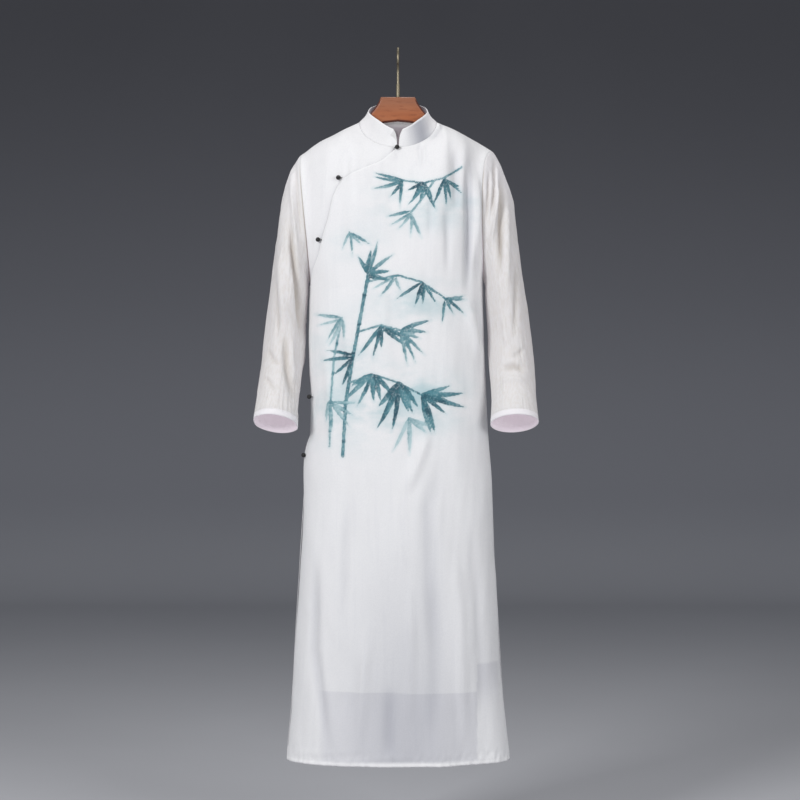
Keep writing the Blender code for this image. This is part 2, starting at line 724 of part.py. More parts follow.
def sleeve_surface(turn, along, side):
    """A sleeve's outer surface. along is 0 at the armhole, CAP_SHARE below the cap, 1 at the cuff."""
    rows = SLEEVE[side][::-1]
    top, bottom = rows[-1].z, rows[0].z
    turn, along = np.broadcast_arrays(turn, along)
    in_cap = np.clip(along / CAP_SHARE, 0, 1)
    leave = sleeve_leave(turn, side)
    along_hole = armhole_along(turn, side)
    off = unit(leave - along_hole * (leave * along_hole).sum(axis=-1, keepdims=True))
    start = armhole_point(turn, side) + off * CAP_SEAM
    end = ring_points(rows, side, np.full(turn.shape, top), turn)
    length = np.linalg.norm(end - start, axis=-1, keepdims=True)
    arrive = unit(stack(side * CAP_SLANT, 0.0, -1.0)) * length
    cap = hermite(start, end, leave * length * CAP_PULL, arrive, in_cap)
    below = np.clip((along - CAP_SHARE) / (1 - CAP_SHARE), 0, 1)
    arm = ring_points(rows, side, top + (bottom - top) * below, turn)
    return np.where((along < CAP_SHARE)[..., None], cap, arm)


def make_sleeve(name, side):
    """A set-in sleeve: a tube of cloth from the armhole to the turned hem at the cuff."""
    turn = np.concatenate([[0.0], YOKE_ROWS / 2, 1 - YOKE_ROWS[-2::-1] / 2])
    below = 1 - HEM_BAND / ARM_LENGTH * np.array([HEM_STEP, 1.0]) * (1 - CAP_SHARE)
    along = np.concatenate([
        np.linspace(0, CAP_SHARE, CAP_RINGS),
        np.linspace(CAP_SHARE, below[0], ARM_RINGS)[1:],
        [below[1], 1.0],
    ])
    grid = sleeve_surface(turn[None, :], along[:, None], side)
    outward = grid_normal(grid, True) * side
    inward = -outward
    inward[0] = armhole_inward(turn, side)
    facing = (grid[..., 1] < grid[..., 1].mean(axis=1, keepdims=True)) * 1.0
    folds = relief(grid, SLEEVE_FOLDS[side]) * facing * ramp(0.0, CAP_CALM, along)[:, None]
    band = HEM_BAND_RISE * (along >= below[1] - 1e-6)[:, None]
    outer = grid - inward * (folds + band)[..., None]
    inner = outer + inward * (WALL + band)[..., None]
    return wall(name, outer, inner, "crepe", ring=True)


def collar_turns():
    """The angles round the neck at which the collar meets the panels' own columns."""
    outer = front_columns(1.0)
    outer = outer[(outer > 0) & (outer < NECK_ACROSS - 1e-9)]
    front = 90 * NECK_COLUMNS[1:-1] / NECK_ACROSS
    back = 180 - 90 * NECK_COLUMNS / NECK_ACROSS
    right = np.concatenate([front, back[::-1]])
    left = np.concatenate([back[1:], 90 * outer[::-1] / NECK_ACROSS])
    return right, left


def collar_row(rise):
    """The collar's outer surface at a share of its height, from one front corner to the other."""
    right, left = collar_turns()
    gap = COLLAR_SLIT + COLLAR_SPREAD * rise + COLLAR_CORNER * rise**COLLAR_CORNER_POWER
    first = math.degrees(math.asin(gap / RIM_HALF_WIDTH))
    base_first = math.degrees(math.asin(COLLAR_SLIT / RIM_HALF_WIDTH))
    squeeze = (180 - first) / (180 - base_first)
    angle = np.concatenate([[base_first], right, left, [base_first]])
    angle = 180 - (180 - angle) * squeeze
    side = np.concatenate([np.full(len(right) + 1, -1.0), np.full(len(left) + 1, 1.0)])
    low, high = neck_point(angle), rim_point(angle)
    low = low + collar_up(angle) * COLLAR_SEAM
    points = low + (high - low) * rise
    points[..., 2] -= COLLAR_BOW * math.sin(math.pi * rise) * np.sin(np.radians(angle)) ** 2
    points[..., 0] *= side
    return points, angle, side


def make_collar():
    """The stand collar, one band with its slit and rounded corners at the centre front."""
    rows = [collar_row(rise) for rise in (0.0, 0.3, 0.55, 0.76, 0.9, 1.0)]
    grid = np.array([row[0] for row in rows])
    inward = grid_normal(grid, False)
    middle = np.array([0.0, 0.0, grid[..., 2].mean()])
    if ((middle - grid) * inward).sum() < 0:
        inward = -inward
    _, angle, side = rows[0]
    inward[0] = [neck_inward(np.array([a]), s)[0] for a, s in zip(angle, side)]
    return wall("collar", grid, grid + inward * COLLAR_WALL, "cloth")


def nearest_to(points, x, z):
    """The row and column of the point of a grid that is seen closest to this place."""
    gap = (points[..., 0] - x) ** 2 + (points[..., 2] - z) ** 2
    return np.unravel_index(np.argmin(gap), gap.shape)


def make_button(name, x, z, lift):
    """A ball button whose centre is seen at this place, lifted off the body's plain surface."""
    across, up = np.meshgrid(np.linspace(-1, 0, SEARCH_ACROSS), np.linspace(-1, 1, SEARCH_UP))
    surface = body_point(across, up, -1.0)
    centres = surface + body_normal(across, up, -1.0) * (BUTTON_RADIUS + lift)
    place = centres[nearest_to(centres, x, z)]
    ball = bmesh.new()
    bmesh.ops.create_uvsphere(ball, u_segments=12, v_segments=8, radius=BUTTON_RADIUS)
    mesh = bpy.data.meshes.new(name)
    ball.to_mesh(mesh)
    ball.free()
    mesh.shade_smooth()
    made = add(bpy.data.objects.new(name, mesh), "button")
    made.location = Vector(place)
    return made


def make_hanger():
    """A flat wooden hanger: a high neck with hollow sides that runs out into two arms."""
    left, right = ([
        (side * x, z + (HANGER_SEAT[side] if x >= ARM_START else 0.0)) for x, z in HANGER_HALF
    ] for side in (1, -1))
    outline = left + right[-2:0:-1]
    shape = bpy.data.curves.new("hanger_body", "CURVE")
    shape.dimensions = "2D"
    shape.fill_mode = "BOTH"
    shape.extrude = HANGER_THICK / 2 - HANGER_EDGE
    shape.bevel_depth = HANGER_EDGE
    shape.bevel_resolution = 1
    shape.offset = -HANGER_EDGE
    line = shape.splines.new("POLY")
    line.points.add(len(outline) - 1)
    for point, (x, z) in zip(line.points, outline):
        point.co = (x, z, 0, 1)
    line.use_cyclic_u = True
    hanger = add(bpy.data.objects.new("hanger_body", shape), "wood")
    hanger.rotation_euler = (math.pi / 2, 0, 0)
    return hanger


def hook_path():
    """The hook's centre line: a stem that bends forward, over the top and down behind."""
    radius = HOOK_INNER + HOOK_WIRE
    centre = -HOOK_INNER
    turn_in = math.radians(HOOK_LEAN)
    foot = centre + radius * math.cos(math.pi - turn_in) - radius * math.sin(turn_in)
    points = [(0.0, 0.0, HANGER_TOP + SEAM), (0.0, 0.0, (HANGER_TOP + foot) / 2)]
    for step in range(BEND_STEPS):
        angle = turn_in * step / BEND_STEPS
        points.append((0.0, -radius * (1 - math.cos(angle)), foot + radius * math.sin(angle)))
    start, end = math.pi - turn_in, -math.radians(HOOK_END_ANGLE)
    for step in range(CROOK_STEPS + 1):
        angle = start + (end - start) * step / CROOK_STEPS
        points.append((0.0, -radius * math.sin(angle), centre + radius * math.cos(angle)))
    return points


def wire(name, points, radius, kind):
    shape = bpy.data.curves.new(name, "CURVE")
    shape.dimensions = "3D"
    shape.bevel_depth = radius
    shape.bevel_resolution = 2
    shape.use_fill_caps = True
    line = shape.splines.new("POLY")
    line.points.add(len(points) - 1)
    for point, place in zip(line.points, points):
        point.co = (*place, 1)
    return add(bpy.data.objects.new(name, shape), kind)


def make_ferrule():
    """A short sleeve round the foot of the hook, a profile turned about the stem."""
    inner = HOOK_WIRE + SEAM
    low, high = HANGER_TOP + SEAM, FERRULE_TOP
    edge = FERRULE_EDGE
    profile = (
        (inner, high), (FERRULE_RADIUS - edge, high), (FERRULE_RADIUS, high - edge),
        (FERRULE_RADIUS, low), (inner, low), (inner, high),
    )
    shape = bmesh.new()
    points = [shape.verts.new((x, 0, z)) for x, z in profile[:-1]]
    for start, end in zip(points, points[1:] + points[:1]):
        shape.edges.new((start, end))
    mesh = bpy.data.meshes.new("hook_ferrule")
    shape.to_mesh(mesh)
    shape.free()
    ferrule = add(bpy.data.objects.new("hook_ferrule", mesh), "metal")
    screw = ferrule.modifiers.new("turn", "SCREW")
    screw.steps = 20
    screw.render_steps = 20
    screw.use_merge_vertices = True
    screw.merge_threshold = 0.00001
    return ferrule


for old in list(bpy.data.objects):
    bpy.data.objects.remove(old, do_unlink=True)
parts = bpy.data.collections.new("hanfu_robe_on_hanger")
bpy.context.scene.collection.children.link(parts)

make_front()
make_under_panel()
make_back()
make_lining("lining_front", -1, FRONT_COLUMNS)
make_lining("lining_back", 1, BACK_COLUMNS)
make_sleeve("sleeve_picture_left", -1)
make_sleeve("sleeve_picture_right", 1)
make_collar()
for button in BUTTONS:
    make_button(*button)
make_hanger()
wire("hook", hook_path(), HOOK_WIRE, "metal")
make_ferrule()
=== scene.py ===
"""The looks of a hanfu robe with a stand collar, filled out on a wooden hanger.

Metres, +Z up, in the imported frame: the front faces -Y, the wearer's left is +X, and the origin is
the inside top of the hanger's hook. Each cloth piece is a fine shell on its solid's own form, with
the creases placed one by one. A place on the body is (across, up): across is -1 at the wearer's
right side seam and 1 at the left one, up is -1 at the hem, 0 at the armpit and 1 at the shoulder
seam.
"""

import math
from collections import namedtuple

import bmesh
import bpy
import numpy as np
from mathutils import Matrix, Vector


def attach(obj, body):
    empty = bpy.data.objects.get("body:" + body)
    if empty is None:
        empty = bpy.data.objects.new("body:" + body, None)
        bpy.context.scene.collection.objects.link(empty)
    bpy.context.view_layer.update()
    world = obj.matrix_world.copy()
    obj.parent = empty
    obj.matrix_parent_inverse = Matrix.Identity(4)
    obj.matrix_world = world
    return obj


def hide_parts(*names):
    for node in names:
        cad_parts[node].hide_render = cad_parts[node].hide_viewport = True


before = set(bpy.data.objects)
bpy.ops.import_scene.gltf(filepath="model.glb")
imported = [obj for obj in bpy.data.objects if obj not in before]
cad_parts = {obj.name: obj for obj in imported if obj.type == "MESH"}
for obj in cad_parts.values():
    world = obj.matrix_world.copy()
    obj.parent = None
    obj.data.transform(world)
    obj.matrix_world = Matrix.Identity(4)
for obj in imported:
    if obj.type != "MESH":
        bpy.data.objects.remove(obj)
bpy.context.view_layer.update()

# Heights and cloth
HEM = -1.519
ARMPIT = -0.4945
SLIT_TOP = -0.870
LINING_HEM = -1.365
LINING_TOP = -0.940
UNDER_PANEL_END = -0.880
CLOTH = 0.0011
LINING_CLOTH = 0.0007
COLLAR_WALL = 0.0020
LAP = 0.0024
LINING_DEPTH = 0.0024
CUFF_HEM = 0.013
HEM_TURN = 0.011

# Shoulders and neck
SHOULDER_X = {-1: -0.2100, 1: 0.2040}
SHOULDER_Z = {-1: -0.2280, 1: -0.2190}
ARMHOLE_INWARD = {-1: -0.010, 1: 0.125}
ARMHOLE_DEPTH = 0.50
NECK_ACROSS = 0.36
NECK_HALF_WIDTH = 0.083
NECK_FRONT = 0.075
NECK_BACK = 0.068
RIM_HALF_WIDTH = 0.064
RIM_FRONT = 0.064
RIM_BACK = 0.052
SECTION_POWER = 2.3

# Side slits
SLIT_TUCK = {-1: 0.0065, 1: 0.0020}
SLIT_PART = 0.0060
SLIT_OPENS = 0.12
SLIT_FADE = 10

# Collar
COLLAR_SLIT = 0.0013
COLLAR_SPREAD = 0.0022
COLLAR_CORNER = 0.0065
COLLAR_CORNER_POWER = 6
COLLAR_BOW = 0.0025

# The pull with which a column of the body leaves the armpit's section and arrives at the top
SIDE_LEAN = 0.25
SIDE_DROP = 0.45
SHOULDER_PULL = 0.37
SHOULDER_SPREAD = 0.16
SHOULDER_LIFT = 0.50
SHOULDER_BOW = 0.0035
NECK_PULL = 0.10
NECK_PULL_SIDE = 0.27
NECK_RISE = 0.25
NECK_RISE_SIDE = 0.17

# The inner front under the outer one, and the outer one's rise over it
UNDER_REACH = 0.24
UNDER_SIDE = -0.74
UNDER_TAPER = 0.15
LAST_FREE = 0.95
LAP_START = 0.12
LAP_END = 0.42
LAP_FADE = 0.07

# Hanger, hook, buttons and thread
HANGER_THICK = 0.013
HANGER_EDGE = 0.005
HOOK_WIRE = 0.0028
HOOK_INNER = 0.0195
HOOK_END_ANGLE = 118.0
HOOK_LEAN = 60.0
HANGER_TOP = -0.1015
ARM_START = 0.100
HANGER_SEAT = {-1: 0.0010, 1: 0.0020}
BUTTON_RADIUS = 0.0050
CORD_RADIUS = 0.0006
THREAD_RADIUS = 0.00022
# A stitch's length and the gap to the next
HEM_STITCH = (0.0030, 0.0032)
CUFF_STITCH = (0.0026, 0.0024)

# Camera: how far off it stands, and how wide a strip it sees at the hook's depth
CAMERA_AWAY = 4.0
SEEN_WIDTH = 1.72
SENSOR_WIDTH = 36.0

Station = namedtuple("Station", "height half_width front_depth back_depth shift")
BODY = (
    Station(-1.5190, 0.2397, 0.1180, 0.1160, -0.0010),
    Station(-1.3870, 0.2273, 0.1155, 0.1130, -0.0015),
    Station(-1.2210, 0.2177, 0.1135, 0.1100, -0.0020),
    Station(-1.0965, 0.2100, 0.1120, 0.1080, -0.0020),
    Station(-0.9245, 0.2010, 0.1110, 0.1060, 0.0000),
    Station(-0.8686, 0.1960, 0.1105, 0.1055, 0.0000),
    Station(-0.8170, 0.1905, 0.1100, 0.1045, 0.0020),
    Station(-0.6990, 0.1880, 0.1095, 0.1030, 0.0000),
    Station(-0.5375, 0.1850, 0.1115, 0.1050, -0.0025),
    Station(-0.4945, 0.1855, 0.1120, 0.1060, -0.0030),
)

# Heights of the neckline and the collar's rim, by the angle round the neck from the centre front
NeckRow = namedtuple("NeckRow", "angle seam rim")
NECK = (
    NeckRow(0, -0.2180, -0.1830),
    NeckRow(10, -0.2172, -0.1785),
    NeckRow(20, -0.2145, -0.1730),
    NeckRow(45, -0.1995, -0.1555),
    NeckRow(70, -0.1760, -0.1410),
    NeckRow(90, -0.1555, -0.1320),
    NeckRow(120, -0.1480, -0.1180),
    NeckRow(150, -0.1455, -0.1100),
    NeckRow(180, -0.1445, -0.1080),
)

# The outer front's edge, from the centre front to the side seam, as x and z
FLAP_EDGE = (
    (0.0000, -0.2180),
    (-0.0180, -0.2350),
    (-0.0351, -0.2502),
    (-0.0735, -0.2668),
    (-0.1029, -0.2808),
    (-0.1173, -0.2896),
    (-0.1272, -0.3047),
    (-0.1362, -0.3246),
    (-0.1409, -0.3437),
    (-0.1481, -0.3742),
    (-0.1598, -0.4085),
    (-0.1678, -0.4463),
    (-0.1800, -0.4750),
    (-0.1845, -0.4945),
    (-0.1890, -0.5200),
)
FLAP_EDGE_END = -0.5200

# Rings of each sleeve below its cap, as in the solids
Ring = namedtuple("Ring", "z x y half_width half_depth swing tilt")
SLEEVE = {
    -1: (
        Ring(-0.5350, -0.2350, 0.000, 0.0400, 0.0740, 0, 0),
        Ring(-0.5850, -0.2400, -0.001, 0.0425, 0.0680, 3, 0),
        Ring(-0.6450, -0.2440, -0.010, 0.0460, 0.0610, 12, 1),
        Ring(-0.7000, -0.2500, -0.028, 0.0445, 0.0560, 21, 3),
        Ring(-0.7500, -0.2545, -0.052, 0.0440, 0.0510, 25, 5),
        Ring(-0.8020, -0.2580, -0.080, 0.0462, 0.0470, 25, 7),
    ),
    1: (
        Ring(-0.5350, 0.2315, 0.000, 0.0420, 0.0740, 0, 0),
        Ring(-0.5850, 0.2365, -0.001, 0.0440, 0.0680, 3, 0),
        Ring(-0.6450, 0.2410, -0.010, 0.0465, 0.0610, 12, 0),
        Ring(-0.7000, 0.2440, -0.028, 0.0470, 0.0560, 21, 1),
        Ring(-0.7500, 0.2455, -0.052, 0.0480, 0.0510, 25, 1),
        Ring(-0.8020, 0.2457, -0.080, 0.0502, 0.0470, 25, 2),
    ),
}
CAP_SHARE = 0.5
CAP_OUTWARD = 0.43
CAP_DOWN = 0.62
CAP_PULL = 0.9
CAP_SLANT = 0.14
ARM_LENGTH = 0.27

# How a fold fades in and out along its path, and where a panel's own waves calm down to its edge
FADE_IN = 0.35
FADE_OUT = 0.65
CALM_EDGE = 0.93
FOLD_NARROW = 0.72
RELIEF = 1.7

# Grids of the fine pieces, and how they are eased and finished
SKIRT_COUNT = 340
YOKE_COUNT = 115
FRONT_COUNT = 186
UNDER_COUNT = 60
BACK_COUNT = 184
SLEEVE_TURNS = 150
CAP_ROWS = 108
ARM_ROWS = 104
LINING_ROWS = 110
LINING_COUNT = 130
LINING_REACH = 0.965
COLLAR_COUNT = 221
COLLAR_ROWS = 24
COLLAR_HIGH = 0.045
SLEEVE_LOBE = 0.054
UNDER_SHORT = 0.004
EASE_ROUNDS = 120
NECK_EASE = 0.07
ARMPIT_EASE = 0.10
EDGE_PEEL = 0.20
PEEL_STARTS = (-0.660, -0.775)
PEEL_ENDS = (-0.868, -0.800)
EDGE_TURN = 1.15
TURN_AT = 0.013
TURN_WIDTH = 0.0085

# Creases on the collar's left: angle at its foot, slant over its height, and width, in degrees
COLLAR_CREASE = -0.0012
CREASE_PLACE = (52, 24, 9)
COLLAR_PLEAT = 0.0008
PLEAT_PLACE = (70, 20, 8)

# Seams and hems
SEAM_DEPTH = 0.0006
SEAM_WIDTH = 0.0022
EDGE_ROLL = -0.0011
EDGE_ROLL_WIDTH = 0.0028
HEM_RAISE = 0.0004
HEM_ROWS = 3
SLIT_BAND = 0.0105
HEM_BAND = 0.0120
BAND_STEP = 0.0010

# The cloth's slight waves: height, width and length, in metres
UNEVEN = ((0.0010, 0.09, 0.30), (0.00018, 0.030, 0.10))
HEM_WAVE = 0.0018
HEM_WAVE_LENGTH = 0.14
HEM_WAVE_TOP = -1.30
PUCKER = 0.0006
PUCKER_SIZE = (0.012, 0.03)
PUCKER_REACH = (0.045, 0.010)
SLEEVE_SOFT = 0.0009
SOFT_SIZE = 0.060
SLEEVE_CRINKLE = 0.00042
CRINKLE_SIZE = 0.0085
CRINKLE_PATCH = 0.05
CRINKLE_WAVES = 22

# Painted shade and painted light that the materials read from the points
TURNED_SHADE = 0.3
TROUGH_SHADE = 0.50
TROUGH_DEPTH = 0.006
SLEEVE_TROUGH_DEPTH = 0.005
SEAM_SHADE = 0.75
SEAM_SHADE_REACH = (0.0045, 0.0010)
SEAM_SHADE_HEIGHTS = (-0.235, -0.290)
UNDER_SHADE = 0.30
HOLLOW_SHADE = 0.42
HOLLOW_X = 0.015
HOLLOW_WIDTH = 0.115
HOLLOW_HEIGHTS = (-0.93, -1.45)
COLLAR_SHADE = 0.95
HEM_LIGHT = 0.010
FRONT_HEM_LIGHT = 1.2
BACK_HEM_LIGHT = 0.8
CLOSING_LIGHT = 0.7
CLOSING_REACH = (0.0040, 0.0015)
# A painted glow on the inner faces of the sleeves and the collar, in place of light through the
# cloth
INSIDE_PAINTED_GLOW = 0.42
COLLAR_PAINTED_GLOW = 0.80
FACING_TOP = -1.307
FACING_X = (0.166, 0.168)
LINING_STEP = 0.0016
LINED_RIGHT = (-0.172, -0.150)
LINED_LEFT = (0.222, 0.205)

# The print's strokes
THINNEST_STROKE = 0.0023
LEAF_SIZE = 1.3
JOINT_PACE = 0.062
JOINT_WIDTH = 0.0022
FAR_OUT = -9.0
NO_PRINT = {"ink": FAR_OUT, "tone": 0.0, "mist": 0.0, "shade": 0.0}

Fold = namedtuple("Fold", "depth width path")


def fold_rows(*rows):
    """Folds, seen from the front or back.

    A row has the depth (negative in a trough) and the width in tenths of a millimetre, then the
    path's x and z, point by point, in millimetres.
    """
    return [
        Fold(depth / 1e4, width / 1e4, np.reshape(path, (-1, 2)) / 1e3)
        for depth, width, *path in rows
    ]


FRONT_FOLDS = fold_rows(
    (-72, 120, 150, -215, 149, -380, 147, -550),
    (44, 110, 166, -260, 168, -360, 165, -480),
    (-35, 130, 122, -215, 122, -290, 124, -365),
    (45, 140, 142, -530, 160, -600, 176, -680),
    (45, 180, 66, -810, 40, -885, 14, -955),
    (-30, 240, 100, -840, 62, -980, 68, -1120, 80, -1300),
    (-22, 220, 70, -1100, 78, -1300, 70, -1519),
    (-34, 140, -174, -1040, -176, -1280, -156, -1420, -136, -1519),
    (40, 200, -60, -1200, -75, -1360, -85, -1519),
    (-16, 70, 45, -196, 46.5, -232, 48, -275),
    (-36, 65, 104, -150, 93, -166, 78, -190, 56, -206),
    (14, 60, 55, -200, 56, -235, 57, -270),
    (-16, 90, 66, -320, 67, -365, 67, -420),
    (-14, 80, -102, -225, -106, -265, -108, -300),
    (-22, 80, 160, -300, 166, -420, 169, -520),
    (-28, 110, 164, -520, 172, -590, 179, -660),
    (-20, 110, 100, -330, 104, -420, 102, -500),
    (18, 160, -45, -420, -30, -560, -25, -700),
    (-18, 150, -130, -560, -118, -680, -90, -790),
    (20, 140, -150, -600, -142, -760, -138, -900),
    (-25, 180, -17, -1340, -18, -1430, -19, -1519),
    (24, 170, 120, -1050, 130, -1250, 142, -1500),
    (-15, 150, 156, -1000, 170, -1240, 186, -1500),
    (-20, 140, -105, -930, -112, -1080, -118, -1240),
    (22, 150, 30, -1100, 26, -1260, 24, -1460),
)
BACK_FOLDS = fold_rows(
    (-60, 150, -140, -250, -143, -400, -140, -560),
    (-50, 140, 135, -260, 140, -380, 138, -520),
    (45, 200, -50, -800, -30, -930, -12, -1040),
    (-45, 200, 70, -900, 78, -1150, 82, -1400),
    (-45, 180, -120, -1080, -130, -1300, -140, -1519),
    (30, 110, -158, -280, -162, -360, -160, -470),
    (28, 110, 154, -290, 158, -380, 156, -480),
    (-18, 100, -60, -190, -66, -260, -64, -330),
    (-18, 100, 58, -190, 64, -250, 62, -320),
    (20, 180, 90, -480, 50, -620, 30, -760),
    (-24, 150, -150, -620, -142, -760, -150, -900),
    (26, 170, 10, -1080, 6, -1280, 0, -1500),
    (-26, 160, 145, -1000, 160, -1240, 178, -1510),
    (24, 160, -70, -1120, -80, -1320, -86, -1519),
)
SLEEVE_FOLDS = {
    -1: fold_rows(
        (-68, 75, -229, -350, -224, -430, -212, -510, -202, -640),
        (-45, 110, -242, -600, -232, -690, -216, -760),
        (35, 130, -250, -420, -246, -520, -240, -600),
        (-36, 55, -219, -235, -212, -320, -203, -410),
        (32, 65, -228, -240, -223, -340, -213, -460),
        (-24, 80, -260, -470, -256, -560, -252, -640),
        (22, 80, -226, -600, -224, -680, -220, -740),
        (-20, 80, -280, -640, -264, -668, -246, -680),
        (-18, 70, -286, -700, -270, -716, -254, -738),
    ),
    1: fold_rows(
        (-66, 85, 221, -255, 220, -350, 212, -505),
        (30, 85, 232, -300, 232, -430, 230, -560),
        (-35, 90, 212, -685, 245, -680, 275, -690),
        (-44, 52, 205, -225, 208, -290, 196, -375),
        (34, 55, 211, -240, 211, -320, 193, -470),
        (-38, 45, 195, -255, 190.5, -320, 185, -385),
        (26, 80, 214, -712, 245, -706, 276, -714),
        (-24, 80, 252, -450, 250, -550, 246, -640),
        (20, 80, 220, -560, 228, -620, 240, -660),
        (-20, 70, 268, -640, 256, -655, 236, -660),
    ),
}
PANELS = {-1: (FRONT_FOLDS, 11), 1: (BACK_FOLDS, 31)}

# Half of the hanger's outline, from the top's centre round the arm's tip to the bottom's centre
HANGER_HALF = (
    (0.0000, -0.1015),
    (0.0365, -0.1015),
    (0.0430, -0.1150),
    (0.0520, -0.1280),
    (0.0595, -0.1370),
    (0.0665, -0.1460),
    (0.0740, -0.1565),
    (0.0840, -0.1630),
    (0.1000, -0.1674),
    (0.1400, -0.1882),
    (0.1760, -0.2098),
    (0.1840, -0.2180),
    (0.1835, -0.2270),
    (0.1760, -0.2320),
    (0.1350, -0.2130),
    (0.0950, -0.1920),
    (0.0600, -0.1700),
    (0.0300, -0.1570),
    (0.0000, -0.1540),
)


def hermite(start, end, leave, arrive, u):
    """A cubic from start to end that leaves and arrives along the given directions."""
    return (
        (1 + 2 * u) * (1 - u) ** 2 * start
        + u * (1 - u) ** 2 * leave
        + u**2 * (3 - 2 * u) * end
        - u**2 * (1 - u) * arrive
    )


def smooth_table(rows, place, column, at):
    """A table's column as a smooth curve through its rows, with no overshoot between them."""
    places = np.array([getattr(row, place) for row in rows], float)
    values = np.array([getattr(row, column) for row in rows], float)
    steps = np.diff(places)
    slopes = np.diff(values) / steps
    bends = np.zeros(len(places))
    for i in range(1, len(places) - 1):
        if slopes[i - 1] * slopes[i] > 0:
            bends[i] = 2 * slopes[i - 1] * slopes[i] / (slopes[i - 1] + slopes[i])
    bends[0], bends[-1] = slopes[0], slopes[-1]
    at = np.clip(at, places[0], places[-1])
    i = np.clip(np.searchsorted(places, at, side="right") - 1, 0, len(steps) - 1)
    u = (at - places[i]) / steps[i]
    start = (1 + 2 * u) * (1 - u) ** 2 * values[i] + u * (1 - u) ** 2 * steps[i] * bends[i]
    end = u**2 * (3 - 2 * u) * values[i + 1] - u**2 * (1 - u) * steps[i] * bends[i + 1]
    return start + end


def ramp(low, high, value):
    """0 below low, 1 above high, and smooth between them."""
    u = np.clip((value - low) / (high - low), 0.0, 1.0)
    return u * u * (3 - 2 * u)


def bell(distance, width):
    """1 at no distance, and next to nothing at twice the width."""
    return np.exp(-((distance / width) ** 2))


def by_side(side, pair):
    """The wearer's right or left value of a pair, by the sign of the side."""
    return np.where(side < 0, pair[-1], pair[1])


def stack(x, y, z):
    x, y, z = np.broadcast_arrays(x, y, z)
    return np.stack([x, y, z], axis=-1).astype(float)


def unit(vectors):
    return vectors / np.maximum(np.linalg.norm(vectors, axis=-1, keepdims=True), 1e-12)


def neck_line(angle, column, half_width, front, back):
    """A line round the neck, by the angle in degrees from the centre front."""
    turn = np.radians(angle)
    depth = np.where(angle < 90, front, back)
    height = smooth_table(NECK, "angle", column, angle)
    return stack(half_width * np.sin(turn), -depth * np.cos(turn), height)


def neck_point(angle):
    return neck_line(angle, "seam", NECK_HALF_WIDTH, NECK_FRONT, NECK_BACK)


def rim_point(angle):
    return neck_line(angle, "rim", RIM_HALF_WIDTH, RIM_FRONT, RIM_BACK)


def section_point(across, height, face):
    """The body's rounded section at one height. face is -1 on the front and 1 on the back."""
    turn = across * math.pi / 2
    half_width = smooth_table(BODY, "height", "half_width", height)
    front = smooth_table(BODY, "height", "front_depth", height)
    back = smooth_table(BODY, "height", "back_depth", height)
    shift = smooth_table(BODY, "height", "shift", height)
    depth = np.where(face < 0, front, back)
    side, ahead = np.abs(np.sin(turn)), np.abs(np.cos(turn))
    swell = (side**SECTION_POWER + ahead**SECTION_POWER) ** (-1 / SECTION_POWER)
    opened = ramp(SLIT_TOP, SLIT_TOP - SLIT_OPENS, height) * np.abs(across) ** SLIT_FADE
    tuck = by_side(across, SLIT_TUCK) * opened * (face < 0)
    x = shift + (half_width - tuck) * swell * np.sin(turn)
    y = face * (depth * swell * ahead + SLIT_PART * opened)
    return stack(x, y, height)


def yoke_point(across, up, face):
    """The body above the armpit: each column rises from the armpit's section to the top."""
    side = np.where(across < 0, -1, 1)
    far = np.abs(across)
    start = section_point(across, np.full_like(up, ARMPIT), face)
    start[..., 1] = np.where(far > 0.9999, 0.0, start[..., 1])
    share = np.clip((far - NECK_ACROSS) / (1 - NECK_ACROSS), 0, 1)
    tip_x = by_side(side, SHOULDER_X)
    tip_z = by_side(side, SHOULDER_Z)
    neck_z = smooth_table(NECK, "angle", "seam", 90.0)
    shoulder = stack(
        side * NECK_HALF_WIDTH + (tip_x - side * NECK_HALF_WIDTH) * share,
        0.0,
        neck_z + (tip_z - neck_z) * share + SHOULDER_BOW * np.sin(math.pi * share),
    )
    angle = 90 * np.clip(far / NECK_ACROSS, 0, 1)
    angle = np.where(face < 0, angle, 180 - angle)
    neck = neck_point(angle)
    neck[..., 0] *= side
    on_neck = far < NECK_ACROSS
    end = np.where(on_neck[..., None], neck, shoulder)
    rise = end[..., 2] - start[..., 2]
    leave_back = -SIDE_LEAN * ramp(0.45, 1.0, far)
    pull = SHOULDER_PULL + (ARMHOLE_DEPTH - SHOULDER_PULL) * share**2
    inward = by_side(side, ARMHOLE_INWARD) * ramp(0.5, 1.0, far)
    spread = SHOULDER_SPREAD * (1 - ramp(0.0, 0.8, share))
    arrive_shoulder = stack(
        side * (inward - spread),
        -face * (pull + leave_back),
        SHOULDER_LIFT * spread,
    )
    to_side = ramp(0.0, 1.0, far / NECK_ACROSS)
    arrive_neck = stack(
        -side * SHOULDER_SPREAD * to_side,
        -face * (NECK_PULL + NECK_PULL_SIDE * to_side),
        NECK_RISE - NECK_RISE_SIDE * to_side,
    )
    arrive = np.where(on_neck[..., None], arrive_neck, arrive_shoulder)
    leave = stack(0.0, -face * leave_back, rise * (1 - SIDE_DROP * ramp(0.8, 1.0, far)))
    return hermite(start, end, leave, arrive, up[..., None])


def height_at(up):
    """The height of a place up the body, at or below the armpit."""
    return HEM + (1 + np.minimum(up, 0)) * (ARMPIT - HEM)


def plain_body(across, up, face):
    """The outer surface of the body with no folds."""
    across, up, face = (np.asarray(v, float) for v in np.broadcast_arrays(across, up, face))
    height = height_at(up)
    below = section_point(across, height, face)
    above = yoke_point(across, np.maximum(up, 0), face)
    return np.where((up < 0)[..., None], below, above)


def up_at(height):
    """The place up the body of a height at or below the armpit."""
    return (height - HEM) / (ARMPIT - HEM) - 1


